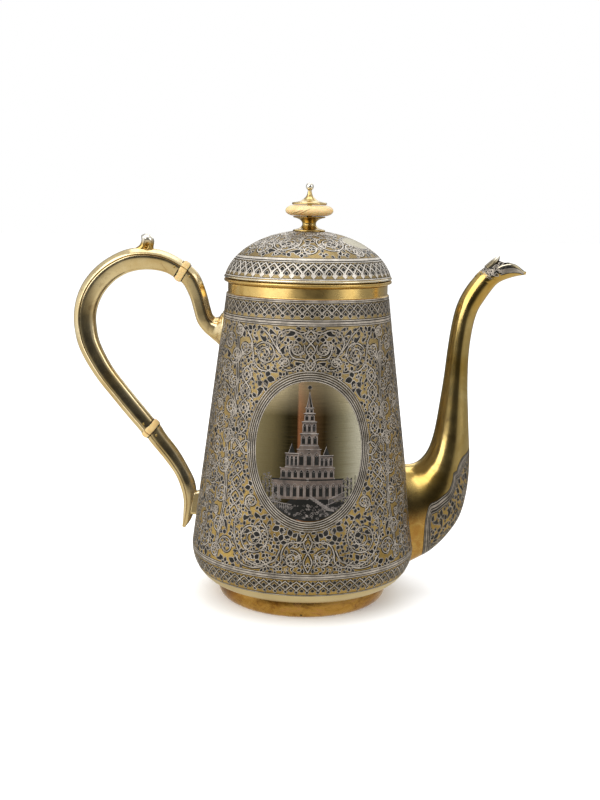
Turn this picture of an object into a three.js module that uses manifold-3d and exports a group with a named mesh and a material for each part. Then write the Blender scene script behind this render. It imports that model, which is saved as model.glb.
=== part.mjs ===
// A silver-gilt coffee pot: a tapered body on a ring foot, a swan-neck spout, a C handle with two bone
// heat breaks, and a lift-off domed lid with a bone knob. Millimetres, +Z up, +X towards the spout.
import * as THREE from "three";
import { mergeVertices } from "three/addons/utils/BufferGeometryUtils.js";
import Module from "manifold-3d";

const wasm = await Module();
wasm.setup();

// ---- driving dimensions ----
const AXIS_X = 4.65; // the pot's axis stands this far from the middle of its length
const GAP = 0.3; // clearance left between soldered or seated pieces
const WALL = 1.1; // sheet thickness
const TURNS = 40; // facets round the body
const SMALL_TURNS = 24; // facets round the finial
const SLIVER = 0.03; // details finer than this are smoothed away after each cut

const BODY_R = 57.6; // widest radius
const BODY_WIDE_Z = 27; // height of the widest ring
const BODY_TURN_IN = 13.5; // how far the lower edge turns in
const FOOT_TOP_Z = 9;
const VENT_R = 0.6; // a hole through the front of the foot
const VENT_Z = 1.7;
const TAPER = 0.1295; // radius lost per millimetre of height
const COLLAR_Z = 156.6; // the plain collar starts here
const COLLAR_R = 40.2;
const BODY_TOP_Z = 161.4;
const RIM_TOP_Z = 163.7;
const RIM_R = 42.2;

const LID_R = 42.4; // the lid is half an ellipse on this radius
const LID_RISE = 27.6;
const LID_CENTRE_Z = 160;
const LID_BOTTOM_Z = 164;
const LID_BAND_Z = 166.6; // top of the lid's plain moulding
const LID_FLAT_Z = 186.9; // the small flat that the finial stands on
const BEZEL_R = 38.6;
const BEZEL_DEPTH = 7;

const KNOB_R = 12; // bone disc
const ROD_R = 1.2; // threaded rod through the knob

// ---- colours ----
const gilt = (hex, roughness = 0.22) =>
  new THREE.MeshStandardMaterial({ color: hex, roughness, metalness: 1 });
const NIELLO_GILT = 0x9a8a5c;
const PLAIN_GILT = 0xb08a3c;
const PALE_GILT = 0xc9b680;
const FOOT_GILT = 0x8a5a20;
const bone = () =>
  new THREE.MeshStandardMaterial({ color: 0xe8c98a, roughness: 0.45, metalness: 0 });

// ---- solids ----
function toSolid(geometry) {
  const bare = new THREE.BufferGeometry();
  const source = geometry.index ? geometry.toNonIndexed() : geometry;
  bare.setAttribute("position", source.getAttribute("position"));
  const merged = mergeVertices(bare, 1e-3);
  const all = merged.index.array;
  const kept = [];
  for (let i = 0; i < all.length; i += 3) {
    const [a, b, c] = [all[i], all[i + 1], all[i + 2]];
    if (a !== b && b !== c && c !== a) kept.push(a, b, c);
  }
  return new wasm.Manifold(
    new wasm.Mesh({
      numProp: 3,
      vertProperties: merged.getAttribute("position").array,
      triVerts: new Uint32Array(kept),
    }),
  );
}

function toGeometry(solid) {
  const mesh = solid.asOriginal().simplify(SLIVER).getMesh();
  const geometry = new THREE.BufferGeometry();
  geometry.setAttribute("position", new THREE.BufferAttribute(mesh.vertProperties, 3));
  geometry.setIndex(new THREE.BufferAttribute(mesh.triVerts, 1));
  geometry.computeVertexNormals();
  return geometry;
}

// A solid turned about Z from a closed outline of [radius, z], listed anticlockwise.
function turned(outline, turns = TURNS) {
  const points = [...outline, outline[0]].map(([r, z]) => new THREE.Vector2(r, z));
  return toSolid(new THREE.LatheGeometry(points, turns).rotateX(Math.PI / 2));
}

// Six times the volume of the corners' triangles, negative when they face inwards.
function signedVolume(faces) {
  return faces.reduce((sum, [a, b, c]) => sum + a.dot(b.clone().cross(c)), 0);
}

// A solid skinned over rings of points that all have the same count, with flat ends.
function lofted(rings) {
  const count = rings[0].length;
  const faces = [];
  const face = (a, b, c) => faces.push([a, b, c]);
  for (let i = 0; i + 1 < rings.length; i += 1) {
    for (let j = 0; j < count; j += 1) {
      const k = (j + 1) % count;
      face(rings[i][j], rings[i][k], rings[i + 1][j]);
      face(rings[i][k], rings[i + 1][k], rings[i + 1][j]);
    }
  }
  for (const [ring, last] of [[rings[0], false], [rings[rings.length - 1], true]]) {
    const middle = new THREE.Vector3();
    ring.forEach((point) => middle.add(point));
    middle.divideScalar(count);
    for (let j = 0; j < count; j += 1) {
      const k = (j + 1) % count;
      if (last) face(middle, ring[j], ring[k]);
      else face(middle, ring[k], ring[j]);
    }
  }
  if (signedVolume(faces) < 0) faces.forEach((corners) => corners.reverse());
  const values = faces.flatMap((corners) => corners.flatMap((corner) => corner.toArray()));
  const geometry = new THREE.BufferGeometry();
  geometry.setAttribute("position", new THREE.Float32BufferAttribute(values, 3));
  return toSolid(geometry);
}

// An outline in the XZ plane of the handle and spout, extruded evenly to both sides of it.
function slab(points, thickness) {
  const outline = new THREE.Shape(points.map(([x, z]) => new THREE.Vector2(x, z)));
  const geometry = new THREE.ExtrudeGeometry(outline, {
    depth: thickness,
    bevelEnabled: false,
    curveSegments: 6,
  });
  return toSolid(geometry.rotateX(Math.PI / 2).translate(0, thickness / 2, 0));
}

// A round bar from one point to another.
function bar(from, to, radius, sides = 8) {
  const along = to.clone().sub(from);
  const geometry = new THREE.CylinderGeometry(radius, radius, along.length(), sides);
  const turn = new THREE.Quaternion().setFromUnitVectors(
    new THREE.Vector3(0, 1, 0),
    along.clone().normalize(),
  );
  const middle = from.clone().add(to).multiplyScalar(0.5);
  return toSolid(geometry.applyQuaternion(turn).translate(middle.x, middle.y, middle.z));
}

const flat = (x, z) => new THREE.Vector3(x, 0, z);

// ---- body profile ----
const coneR = (z) => BODY_R - TAPER * (z - BODY_WIDE_Z);

// The outside of the body from the foot up, moved inwards by inset.
function bodySide(inset, topZ) {
  const side = [];
  const steps = 6;
  for (let i = 0; i <= steps; i += 1) {
    const turn = ((1 - i / steps) * Math.PI) / 2;
    const reach = BODY_TURN_IN - inset;
    const drop = BODY_WIDE_Z - FOOT_TOP_Z - inset;
    side.push([
      BODY_R - BODY_TURN_IN + reach * Math.cos(turn),
      BODY_WIDE_Z - drop * Math.sin(turn),
    ]);
  }
  side.push([coneR(topZ) - inset, topZ]);
  return side;
}

// ---- body ----
function strainerHoles() {
  const holeR = 1.6;
  const pitch = 5.2;
  const middle = 44;
  const holes = [];
  for (let row = -3; row <= 3; row += 1) {
    const z = middle + row * pitch;
    const columns = row % 2 === 0 ? [-1, 0, 1] : [-0.5, 0.5];
    for (const column of columns) {
      const y = column * pitch;
      const from = new THREE.Vector3(BODY_R - 10, y, z);
      holes.push(bar(from, new THREE.Vector3(BODY_R + 3, y, z), holeR, 6));
    }
  }
  return holes;
}

function bodyShell() {
  const inside = bodySide(WALL, COLLAR_Z).reverse();
  const outline = [
    ...bodySide(0, COLLAR_Z - 0.4),
    [COLLAR_R, COLLAR_Z],
    [COLLAR_R, BODY_TOP_Z],
    [COLLAR_R - WALL, BODY_TOP_Z],
    [COLLAR_R - WALL, COLLAR_Z - 1.2],
    ...inside.slice(1),
  ];
  return strainerHoles().reduce((body, hole) => body.subtract(hole), turned(outline));
}

function bodyBottom() {
  const edge = BODY_R - BODY_TURN_IN - GAP;
  const low = FOOT_TOP_Z + 0.1;
  return turned([
    [0, low],
    [edge, low],
    [edge, low + WALL],
    [0, low + WALL],
  ]);
}

function footRing() {
  const top = FOOT_TOP_Z - GAP;
  const ring = turned([
    [39.2, 0],
    [41.9, 0],
    [42.9, 1.1],
    [43.7, 3.2],
    [44.2, 6],
    [44.2, top],
    [40.5, top],
    [40.5, 2.4],
    [39.2, 1.2],
  ]);
  const from = new THREE.Vector3(0, -BODY_R, VENT_Z);
  return ring.subtract(bar(from, new THREE.Vector3(0, 0, VENT_Z), VENT_R));
}

function rimMoulding() {
  const low = BODY_TOP_Z + 0.2;
  return turned([
    [COLLAR_R - WALL, low],
    [COLLAR_R + 0.4, low],
    [RIM_R, low + 0.8],
    [RIM_R, RIM_TOP_Z - 0.6],
    [RIM_R - 0.6, RIM_TOP_Z],
    [COLLAR_R - WALL, RIM_TOP_Z],
  ]);
}

// ---- spout ----
// Pairs of points on its inner and outer edge in the XZ plane, and the half width across.
const SPOUT = [
  [[48.5, 68.6], [54.5, 15.5], 13],
  [[55, 68.8], [60.5, 18.8], 13.6],
  [[58.5, 70.1], [67.5, 23.4], 13.8],
  [[61.3, 72.6], [75.2, 31.5], 13.4],
  [[63.9, 76.7], [81.6, 42], 12.2],
  [[66, 83], [84.8, 56], 10.4],
  [[67.5, 91], [85.5, 72], 8.6],
  [[69.2, 104], [84.2, 91], 7],
  [[70.6, 116.2], [82.9, 110], 6],
  [[71.7, 128.6], [82.7, 126.4], 5.6],
  [[73.2, 141], [83.9, 139.6], 5.5],
  [[75, 150], [86, 148.6], 5.5],
  [[77.6, 156.8], [88.9, 154], 5.5],
  [[81, 162.6], [92, 158.8], 5.5],
  [[85.2, 168.1], [95, 162.9], 5.4],
];
const BEAK = [
  SPOUT[SPOUT.length - 1],
  [[90.6, 172.4], [98.4, 165.4], 5.3],
  [[96.4, 175.6], [102.2, 166.9], 5.1],
  [[103.2, 176], [106, 167.4], 3.6],
  [[109.4, 172], [109.1, 167.9], 1],
];

// The outline that opens the beak's top, from above it down to the pouring edge.
const MOUTH_CUT = [
  [96.6, 190], [96.6, 173], [99.5, 172.6], [102.6, 173], [106, 171.4], [108.2, 169.6],
  [112, 168.4], [120, 190],
];
const MOUTH_CUT_WIDTH = 30;
// A spur at the back of the opening, kept out of the bore below it.
const CREST = [[91.8, 172.2], [96.3, 171.9], [97.2, 173.4], [96.2, 176.6]];
const CREST_WIDTH = 3;
const BELOW_CREST = [[91, 165], [99, 165], [99, 171.2], [95, 172.2], [91, 168.6]];
const JOINT_GAP = flat(3, 4).setLength(GAP); // from the spout's end to the beak, along both

// A ring of the spout, an ellipse whose long axis joins the two edge points.
function spoutRing([[ax, az], [bx, bz], halfWidth], inset, sides) {
  const middle = flat((ax + bx) / 2, (az + bz) / 2);
  const across = flat(ax - bx, az - bz).multiplyScalar(0.5);
  const ring = [];
  for (let j = 0; j < sides; j += 1) {
    const turn = (j / sides) * Math.PI * 2;
    const reach = across.clone().multiplyScalar(Math.cos(turn) * (1 - inset / across.length()));
    const side = (halfWidth - inset) * Math.sin(turn);
    ring.push(middle.clone().add(reach).add(new THREE.Vector3(0, side, 0)));
  }
  return ring;
}

// The bore sticks out past both ends, so that it opens them.
function spoutTube(sections, sides) {
  const outer = lofted(sections.map((section) => spoutRing(section, 0, sides)));
  const bore = sections.map((section) => spoutRing(section, WALL, sides));
  const middleOf = (ring) =>
    ring.reduce((sum, point) => sum.add(point), new THREE.Vector3()).divideScalar(ring.length);
  const extend = (ring, next) => {
    const step = middleOf(ring).sub(middleOf(next)).setLength(1);
    return ring.map((point) => point.clone().add(step));
  };
  const last = bore.length - 1;
  const rings = [extend(bore[0], bore[1]), ...bore, extend(bore[last], bore[last - 1])];
  return outer.subtract(lofted(rings));
}

// What a piece soldered to the body is cut back by.
function bodyClearance() {
  return turned([[0, FOOT_TOP_Z - 5], ...bodySide(-GAP, COLLAR_Z), [0, COLLAR_Z]]);
}

function spoutShell() {
  return spoutTube(SPOUT, 20).subtract(bodyClearance());
}

function spoutBeak() {
  const tube = spoutTube(BEAK, 16).translate([JOINT_GAP.x, 0, JOINT_GAP.z]);
  const crest = slab(CREST, CREST_WIDTH).subtract(slab(BELOW_CREST, CREST_WIDTH + 1));
  return tube.subtract(slab(MOUTH_CUT, MOUTH_CUT_WIDTH)).add(crest);
}

// ---- handle ----
// The handle's section: a round rib outside, flat cheeks, and a narrower back. Unit size.
const HANDLE_SECTION = [
  [1, 0], [0.88, 0.5], [0.5, 0.82], [0.14, 0.84], [-0.5, 0.74], [-0.92, 0.52],
  [-1, 0], [-0.92, -0.52], [-0.5, -0.74], [0.14, -0.84], [0.5, -0.82], [0.88, -0.5],
];

// Rings along a path of [x, z, half depth], each square to the path. Side is 1 when the rib
// lies to the right of the way the path runs, seen from the front. A ring that meets a heat
// break is square to the break's own axis.
function handleRings(path, side, startBreak, endBreak) {
  const last = path.length - 1;
  return path.map(([x, z, half], i) => {
    const before = path[Math.max(i - 1, 0)];
    const after = path[Math.min(i + 1, last)];
    const along = flat(after[0] - before[0], after[1] - before[1]).normalize();
    const meets = (i === 0 && startBreak) || (i === last && endBreak);
    if (meets) {
      const axis = flat(meets.dirX, meets.dirZ).normalize();
      const sense = Math.sign(axis.dot(along));
      along.copy(axis).multiplyScalar(sense);
    }
    const out = flat(along.z, -along.x).multiplyScalar(side);
    return HANDLE_SECTION.map(([u, v]) =>
      flat(x, z).addScaledVector(out, u * half).add(new THREE.Vector3(0, v * half, 0)),
    );
  });
}

const UPPER_BREAK = { x: -63.3, z: 166, dirX: 0.85, dirZ: -0.53, half: 4.9, side: -1 };
const LOWER_BREAK = { x: -79.7, z: 84.9, dirX: 0.75, dirZ: -0.66, half: 4.9, side: 1 };
const BREAK_LENGTH = 3.6;

// The point a signed distance along a heat break's axis.
function onBreak(spot, distance) {
  return [spot.x + spot.dirX * distance, spot.z + spot.dirZ * distance];
}

const FACE = BREAK_LENGTH / 2 + 0.15;
const GRIP_PATH = [
  [...onBreak(UPPER_BREAK, -FACE), 4.75],
  [-69.4, 169.5, 4.85],
  [-74.4, 171.2, 5.2],
  [-79.5, 171.9, 5.4],
  [-84.5, 171.9, 5.6],
  [-89.5, 171.1, 5.7],
  [-94.5, 169.2, 5.6],
  [-99.8, 166, 5.6],
  [-103.8, 162.5, 5.7],
  [-107, 158.8, 5.75],
  [-109.6, 154.6, 5.75],
  [-111.7, 149.3, 5.7],
  [-112.8, 143.2, 5.6],
  [-112.6, 136.5, 5.6],
  [-111.1, 128.9, 5.45],
  [-107.4, 120.7, 5.2],
  [-102.4, 112.5, 4.95],
  [-96, 104.3, 4.85],
  [-89.4, 96.1, 4.85],
  [...onBreak(LOWER_BREAK, -FACE), 4.75],
];
const UPPER_ARM_PATH = [
  [...onBreak(UPPER_BREAK, FACE), 4.7],
  [-59.4, 162.7, 4.7],
  [-57.5, 159.6, 4.6],
  [-55.1, 153.6, 4.35],
  [-53.3, 147, 4.3],
  [-51.8, 142.4, 4.4],
  [-49.2, 139.4, 4.8],
  [-46.4, 138, 6],
  [-43.9, 137.5, 8.2],
  [-42, 137.4, 9.4],
  [-39, 137.4, 9.6],
];
const LOWER_ARM_PATH = [
  [...onBreak(LOWER_BREAK, FACE), 4.7],
  [-75.6, 79.6, 4.5],
  [-69, 71.2, 4.3],
  [-63.7, 62.8, 3.9],
  [-60.9, 55.4, 3.6],
  [-60, 47.5, 2.8],
  [-61, 38.5, 2.1],
  [-62.8, 32.4, 0.7],
];

// The bore for a tenon and its cross pin. Side is 1 towards the pot, -1 towards the grip.
const socket = (spot, side) => tenon(spot, GAP).add(pin(spot, side, GAP / 2));

function handleGrip() {
  const grip = lofted(handleRings(GRIP_PATH, 1, UPPER_BREAK, LOWER_BREAK));
  return grip.subtract(socket(UPPER_BREAK, -1)).subtract(socket(LOWER_BREAK, -1));
}

function upperArm() {
  const arm = lofted(handleRings(UPPER_ARM_PATH, -1, UPPER_BREAK));
  return arm.subtract(bodyClearance()).subtract(socket(UPPER_BREAK, 1));
}

function lowerArm() {
  const arm = lofted(handleRings(LOWER_ARM_PATH, 1, LOWER_BREAK));
  return arm.subtract(bodyClearance()).subtract(socket(LOWER_BREAK, 1));
}

// A heat break is a bone ring between the tubes, with a tenon that runs into both of them.
const TENON_R = 2.6;
const TENON_REACH = 6.2;
const PIN_R = 0.6;
const PIN_OFFSET = 4.4; // from the middle of the break to each pin

function tenon(spot, clearance) {
  const reach = TENON_REACH + clearance;
  const from = flat(...onBreak(spot, -reach));
  return bar(from, flat(...onBreak(spot, reach)), TENON_R + clearance, 10);
}

function pin(spot, side, clearance) {
  const [x, z] = onBreak(spot, side * PIN_OFFSET);
  const half = clearance > 0 ? 6 : 3.9;
  const from = new THREE.Vector3(x, -half, z);
  return bar(from, new THREE.Vector3(x, half, z), PIN_R + clearance, 8);
}

function heatBreak(spot) {
  const half = BREAK_LENGTH / 2;
  const path = [
    [...onBreak(spot, -half), spot.half - 0.2],
    [...onBreak(spot, -half + 0.8), spot.half + 0.2],
    [...onBreak(spot, half - 0.8), spot.half + 0.2],
    [...onBreak(spot, half), spot.half - 0.2],
  ];
  return lofted(handleRings(path, spot.side)).add(tenon(spot, 0))
    .subtract(pin(spot, -1, GAP / 2)).subtract(pin(spot, 1, GAP / 2));
}

function lowerPad() {
  const pad = slab([[-57.6, 52], [-50, 53.5], [-50, 38.5], [-59.2, 39.4]], 4.2);
  const arm = lofted(handleRings(LOWER_ARM_PATH.map(([x, z, half]) => [x, z, half + GAP]), 1));
  return pad.subtract(bodyClearance()).subtract(arm);
}

function thumbRest() {
  const rest = slab(
    [[-89.4, 177], [-87, 177.9], [-85.2, 179.3], [-84.4, 181.4], [-84.3, 183.7], [-81.4, 184.4],
      [-78.8, 183.4], [-77.4, 181.4], [-77.2, 179], [-77.6, 176.6], [-83, 176.5]],
    6.4,
  );
  const grip = GRIP_PATH.map(([x, z, half]) => [x, z, half + GAP]);
  return rest.subtract(lofted(handleRings(grip, 1)));
}

// ---- lid ----
const lidR = (z, inset = 0) =>
  (LID_R - inset) * Math.sqrt(Math.max(0, 1 - ((z - LID_CENTRE_Z) / (LID_RISE - inset)) ** 2));

function lidDome() {
  const low = LID_BAND_Z + 0.2;
  const heights = [low, 170.5, 174.5, 178, 181, 183.5, 185.4, LID_FLAT_Z];
  const inside = [low, 170.5, 174, 177, 179.8, 182.2, 184.2, LID_FLAT_Z - WALL - 0.1];
  return turned([
    ...heights.map((z) => [lidR(z), z]),
    [ROD_R + GAP, LID_FLAT_Z],
    [ROD_R + GAP, LID_FLAT_Z - WALL - 0.1],
    ...inside.map((z) => [lidR(z, WALL), z]).reverse(),
  ]);
}

function lidBand() {
  return turned([
    [BEZEL_R + GAP, LID_BOTTOM_Z],
    [lidR(LID_BOTTOM_Z) - 0.6, LID_BOTTOM_Z],
    [lidR(LID_BOTTOM_Z), LID_BOTTOM_Z + 0.6],
    [lidR(LID_BAND_Z) + 0.4, LID_BAND_Z - 0.5],
    [lidR(LID_BAND_Z), LID_BAND_Z],
    [BEZEL_R + GAP, LID_BAND_Z],
  ]);
}

function lidBezel() {
  return turned([
    [BEZEL_R - WALL, LID_BOTTOM_Z - BEZEL_DEPTH],
    [BEZEL_R - 0.5, LID_BOTTOM_Z - BEZEL_DEPTH],
    [BEZEL_R, LID_BOTTOM_Z - BEZEL_DEPTH + 0.8],
    [BEZEL_R, LID_BAND_Z],
    [BEZEL_R - WALL, LID_BAND_Z],
  ]);
}

// ---- finial: a turned stem, a bone disc and a cap, drawn together by a threaded rod ----
const STEM_Z = LID_FLAT_Z + 0.2;
const DISC_Z = 194.8;
const CAP_Z = 200.2;
const BALL_R = 2.1;
const BALL_Z = 209;

function bored(outline) {
  const [low, high] = [outline[0][1], outline[outline.length - 1][1]];
  const rodHole = ROD_R + 0.2;
  return turned([[rodHole, low], ...outline, [rodHole, high]], SMALL_TURNS);
}

function finialStem() {
  return bored([
    [7.9, STEM_Z], [8.15, STEM_Z + 0.5], [7.2, STEM_Z + 1], [4.6, STEM_Z + 1.8],
    [3.4, STEM_Z + 3.3], [3.5, STEM_Z + 4.6], [5, STEM_Z + 6], [7.9, STEM_Z + 6.9],
    [8.1, DISC_Z - 0.3], [7.8, DISC_Z - 0.2],
  ]);
}

function knobDisc() {
  return bored([
    [9.8, DISC_Z], [11.2, DISC_Z + 0.9], [KNOB_R, DISC_Z + 2.6], [11.8, DISC_Z + 4],
    [10.9, DISC_Z + 5], [10.2, CAP_Z - 0.2],
  ]);
}

function finialCap() {
  const neckZ = 206.5;
  const outline = [
    [ROD_R + 0.2, CAP_Z], [8.4, CAP_Z], [8.77, CAP_Z + 0.8], [8.5, CAP_Z + 1.7],
    [5.6, CAP_Z + 2.5], [3.3, CAP_Z + 3.6], [1.7, CAP_Z + 5], [1, neckZ],
  ];
  const steps = 5;
  for (let i = 0; i <= steps; i += 1) {
    const turn = -1.05 + (i / steps) * (Math.PI / 2 + 1.05);
    outline.push([BALL_R * Math.cos(turn), BALL_Z + BALL_R * Math.sin(turn)]);
  }
  outline.push([0, CAP_Z + 3], [ROD_R + 0.2, CAP_Z + 3]);
  return turned(outline, SMALL_TURNS);
}

const ROD_LOW_Z = LID_FLAT_Z - 6;
const rod = () =>
  bar(new THREE.Vector3(0, 0, ROD_LOW_Z), new THREE.Vector3(0, 0, CAP_Z + 2.8), ROD_R, 12);

// A washer or nut on the rod, its top a distance below the inside of the lid.
function onRod(radius, below, thickness, sides) {
  const hole = ROD_R + 0.2;
  const high = LID_FLAT_Z - WALL - GAP - below;
  const low = high - thickness;
  return turned([[hole, low], [radius, low], [radius, high], [hole, high]], sides);
}

// ---- assembly ----
const coffeePot = new THREE.Group();
const pot = new THREE.Group();
const lid = new THREE.Group();
pot.add(lid);
coffeePot.add(pot);
pot.position.x = AXIS_X;

function piece(name, solid, material, group = pot) {
  const mesh = new THREE.Mesh(toGeometry(solid), material);
  mesh.name = name;
  group.add(mesh);
}

piece("body_shell", bodyShell(), gilt(NIELLO_GILT, 0.35));
piece("body_bottom", bodyBottom(), gilt(PALE_GILT, 0.35));
piece("foot_ring", footRing(), gilt(FOOT_GILT, 0.3));
piece("rim_moulding", rimMoulding(), gilt(PALE_GILT));
piece("spout_shell", spoutShell(), gilt(PLAIN_GILT));
piece("spout_beak", spoutBeak(), gilt(PALE_GILT));
piece("upper_handle_arm", upperArm(), gilt(PLAIN_GILT));
piece("upper_heat_break", heatBreak(UPPER_BREAK), bone());
piece("handle_grip", handleGrip(), gilt(PLAIN_GILT));
piece("thumb_rest", thumbRest(), gilt(PALE_GILT));
piece("lower_heat_break", heatBreak(LOWER_BREAK), bone());
piece("lower_handle_arm", lowerArm(), gilt(PLAIN_GILT));
piece("lower_handle_pad", lowerPad(), gilt(PLAIN_GILT));
piece("upper_arm_pin", pin(UPPER_BREAK, 1, 0), gilt(PALE_GILT));
piece("upper_grip_pin", pin(UPPER_BREAK, -1, 0), gilt(PALE_GILT));
piece("lower_arm_pin", pin(LOWER_BREAK, 1, 0), gilt(PALE_GILT));
piece("lower_grip_pin", pin(LOWER_BREAK, -1, 0), gilt(PALE_GILT));

piece("lid_dome", lidDome(), gilt(NIELLO_GILT, 0.35), lid);
piece("lid_band", lidBand(), gilt(PALE_GILT), lid);
piece("lid_bezel", lidBezel(), gilt(PALE_GILT), lid);
piece("finial_stem", finialStem(), gilt(PLAIN_GILT), lid);
piece("knob_disc", knobDisc(), bone(), lid);
piece("finial_cap", finialCap(), gilt(PLAIN_GILT), lid);
piece("finial_rod", rod(), gilt(PALE_GILT, 0.4), lid);
piece("finial_washer", onRod(4, 0, 0.8, 16), gilt(PALE_GILT), lid);
piece("finial_nut", onRod(2.8, 1, 2, 6), gilt(PALE_GILT), lid);

export default coffeePot;
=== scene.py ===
"""Looks of a silver-gilt and niello coffee pot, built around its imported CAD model.

Lengths are in millimetres from the foot of the pot's own axis, until put() turns them into the
frame's metres. Turns about the axis start at the front and grow towards the spout.
"""
import math
import random

import bmesh
import bpy
import numpy as np
from mathutils import Matrix, Vector


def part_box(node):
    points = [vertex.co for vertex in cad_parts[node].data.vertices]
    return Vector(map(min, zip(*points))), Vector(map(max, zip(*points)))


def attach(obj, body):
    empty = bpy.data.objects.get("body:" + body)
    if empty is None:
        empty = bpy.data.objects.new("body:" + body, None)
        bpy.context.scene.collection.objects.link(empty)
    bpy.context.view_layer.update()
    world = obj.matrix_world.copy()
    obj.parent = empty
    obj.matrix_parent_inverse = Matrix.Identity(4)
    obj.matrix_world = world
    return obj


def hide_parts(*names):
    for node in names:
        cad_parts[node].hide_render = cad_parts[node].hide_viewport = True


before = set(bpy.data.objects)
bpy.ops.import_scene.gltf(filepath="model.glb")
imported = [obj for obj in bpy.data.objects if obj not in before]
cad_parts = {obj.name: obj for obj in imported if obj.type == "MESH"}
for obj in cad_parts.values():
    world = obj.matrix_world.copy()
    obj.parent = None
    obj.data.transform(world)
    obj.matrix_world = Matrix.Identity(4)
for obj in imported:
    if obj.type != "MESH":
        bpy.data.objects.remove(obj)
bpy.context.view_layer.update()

MM = 0.001


def span(node):
    """A node's lowest and highest corners, in millimetres in the frame."""
    low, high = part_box(node)
    return [value / MM for value in low], [value / MM for value in high]


# ---- driving dimensions, from the frame where it holds them ----
FOOT_LOW, FOOT_HIGH = span("foot_ring")
COLLAR_TOP_Z = span("body_shell")[1][2]
RIM_LOW, RIM_HIGH = span("rim_moulding")
BAND_LOW, BAND_HIGH = span("lid_band")
DOME_LOW, DOME_HIGH = span("lid_dome")
STEM_LOW, STEM_HIGH = span("finial_stem")
DISC_LOW, DISC_HIGH = span("knob_disc")
CAP_LOW, CAP_HIGH = span("finial_cap")
BEZEL_LOW, BEZEL_HIGH = span("lid_bezel")
PIN_HALF = span("upper_arm_pin")[1][1]

AXIS_X = (FOOT_LOW[0] + FOOT_HIGH[0]) / 2
WALL = 1.1
FOOT_TOP_Z = 9.0
BODY_R = 57.6
BODY_WIDE_Z = 27.0
BODY_TURN_IN = 13.5
TAPER = 0.1295
BAND_TOP_Z = 15.6
COLLAR_Z = 156.6
COLLAR_R = 40.2
SIDE_TOP_Z = COLLAR_Z - 0.4
INNER_STEP_Z = COLLAR_Z - 1.2
LID_R = 42.4
LID_RISE = 27.6
LID_CENTRE_Z = 160.0
LID_EDGE_Z = BAND_HIGH[2] - 1.2

TURNS = 256
SMALL_TURNS = 96
FRONT = math.radians(2.6)


# ---- camera, at the photograph's angle ----
def add_camera():
    distance = 550.0
    height = 200.4
    pitch = math.radians(10.21)
    yaw = math.radians(-0.296)
    roll = math.radians(1.12)
    focal_px = 1086.5
    long_side_px = 800
    forward = Vector(
        (
            math.sin(yaw) * math.cos(pitch),
            math.cos(yaw) * math.cos(pitch),
            -math.sin(pitch),
        )
    )
    level = forward.cross(Vector((0, 0, 1))).normalized()
    upright = level.cross(forward)
    right = level * math.cos(roll) + upright * math.sin(roll)
    up = upright * math.cos(roll) - level * math.sin(roll)
    camera = bpy.data.cameras.new("camera")
    camera.sensor_width = 36
    camera.lens = focal_px * camera.sensor_width / long_side_px
    camera.clip_start = 0.01
    holder = bpy.data.objects.new("camera", camera)
    turn = Matrix((right, up, -forward)).transposed().to_4x4()
    spot = Vector((AXIS_X * MM, -distance * MM, height * MM))
    holder.matrix_world = Matrix.Translation(spot) @ turn
    bpy.context.scene.collection.objects.link(holder)
    bpy.context.scene.camera = holder


add_camera()


# ---- materials ----
class Nodes:
    """A node tree with short ways to add and join its nodes."""

    def __init__(self, tree):
        self.tree = tree

    def add(self, kind, values=None, **settings):
        """Adds a node; values go to its sockets and settings to the node itself."""
        node = self.tree.nodes.new(kind)
        for name, value in settings.items():
            setattr(node, name, value)
        for name, value in (values or {}).items():
            self.feed(node.inputs[name], value)
        return node

    def feed(self, socket, value):
        """Gives a socket a number, a vector, a colour or another node's output."""
        if isinstance(value, (int, float)):
            socket.default_value = value
        elif isinstance(value, tuple):
            socket.default_value = (*value, 1) if socket.type == "RGBA" else value
        else:
            self.tree.links.new(value, socket)

    def ramp(self, source, stops):
        """A colour from a number, by stops of (position, colour or grey level)."""
        node = self.add("ShaderNodeValToRGB", {"Fac": source})
        elements = node.color_ramp.elements
        while len(elements) < len(stops):
            elements.new(0.5)
        for element, (position, colour) in zip(elements, stops):
            element.position = position
            element.color = (*colour, 1) if isinstance(colour, tuple) else (colour, colour, colour, 1)
        return node.outputs["Color"]

    def between(self, source, low, high, to_low, to_high):
        values = {"Value": source, "From Min": low, "From Max": high, "To Min": to_low, "To Max": to_high}
        return self.add("ShaderNodeMapRange", values).outputs["Result"]

    def product(self, first, second):
        node = self.add("ShaderNodeMath", {0: first, 1: second}, operation="MULTIPLY")
        return node.outputs["Value"]

    def mixed(self, factor, first, second):
        node = self.add("ShaderNodeMix", {"Factor": factor}, data_type="RGBA")
        sockets = [s for s in node.inputs if s.type == "RGBA"]
        for socket, value in zip(sockets, (first, second)):
            self.feed(socket, value)
        return next(s for s in node.outputs if s.type == "RGBA")


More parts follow.
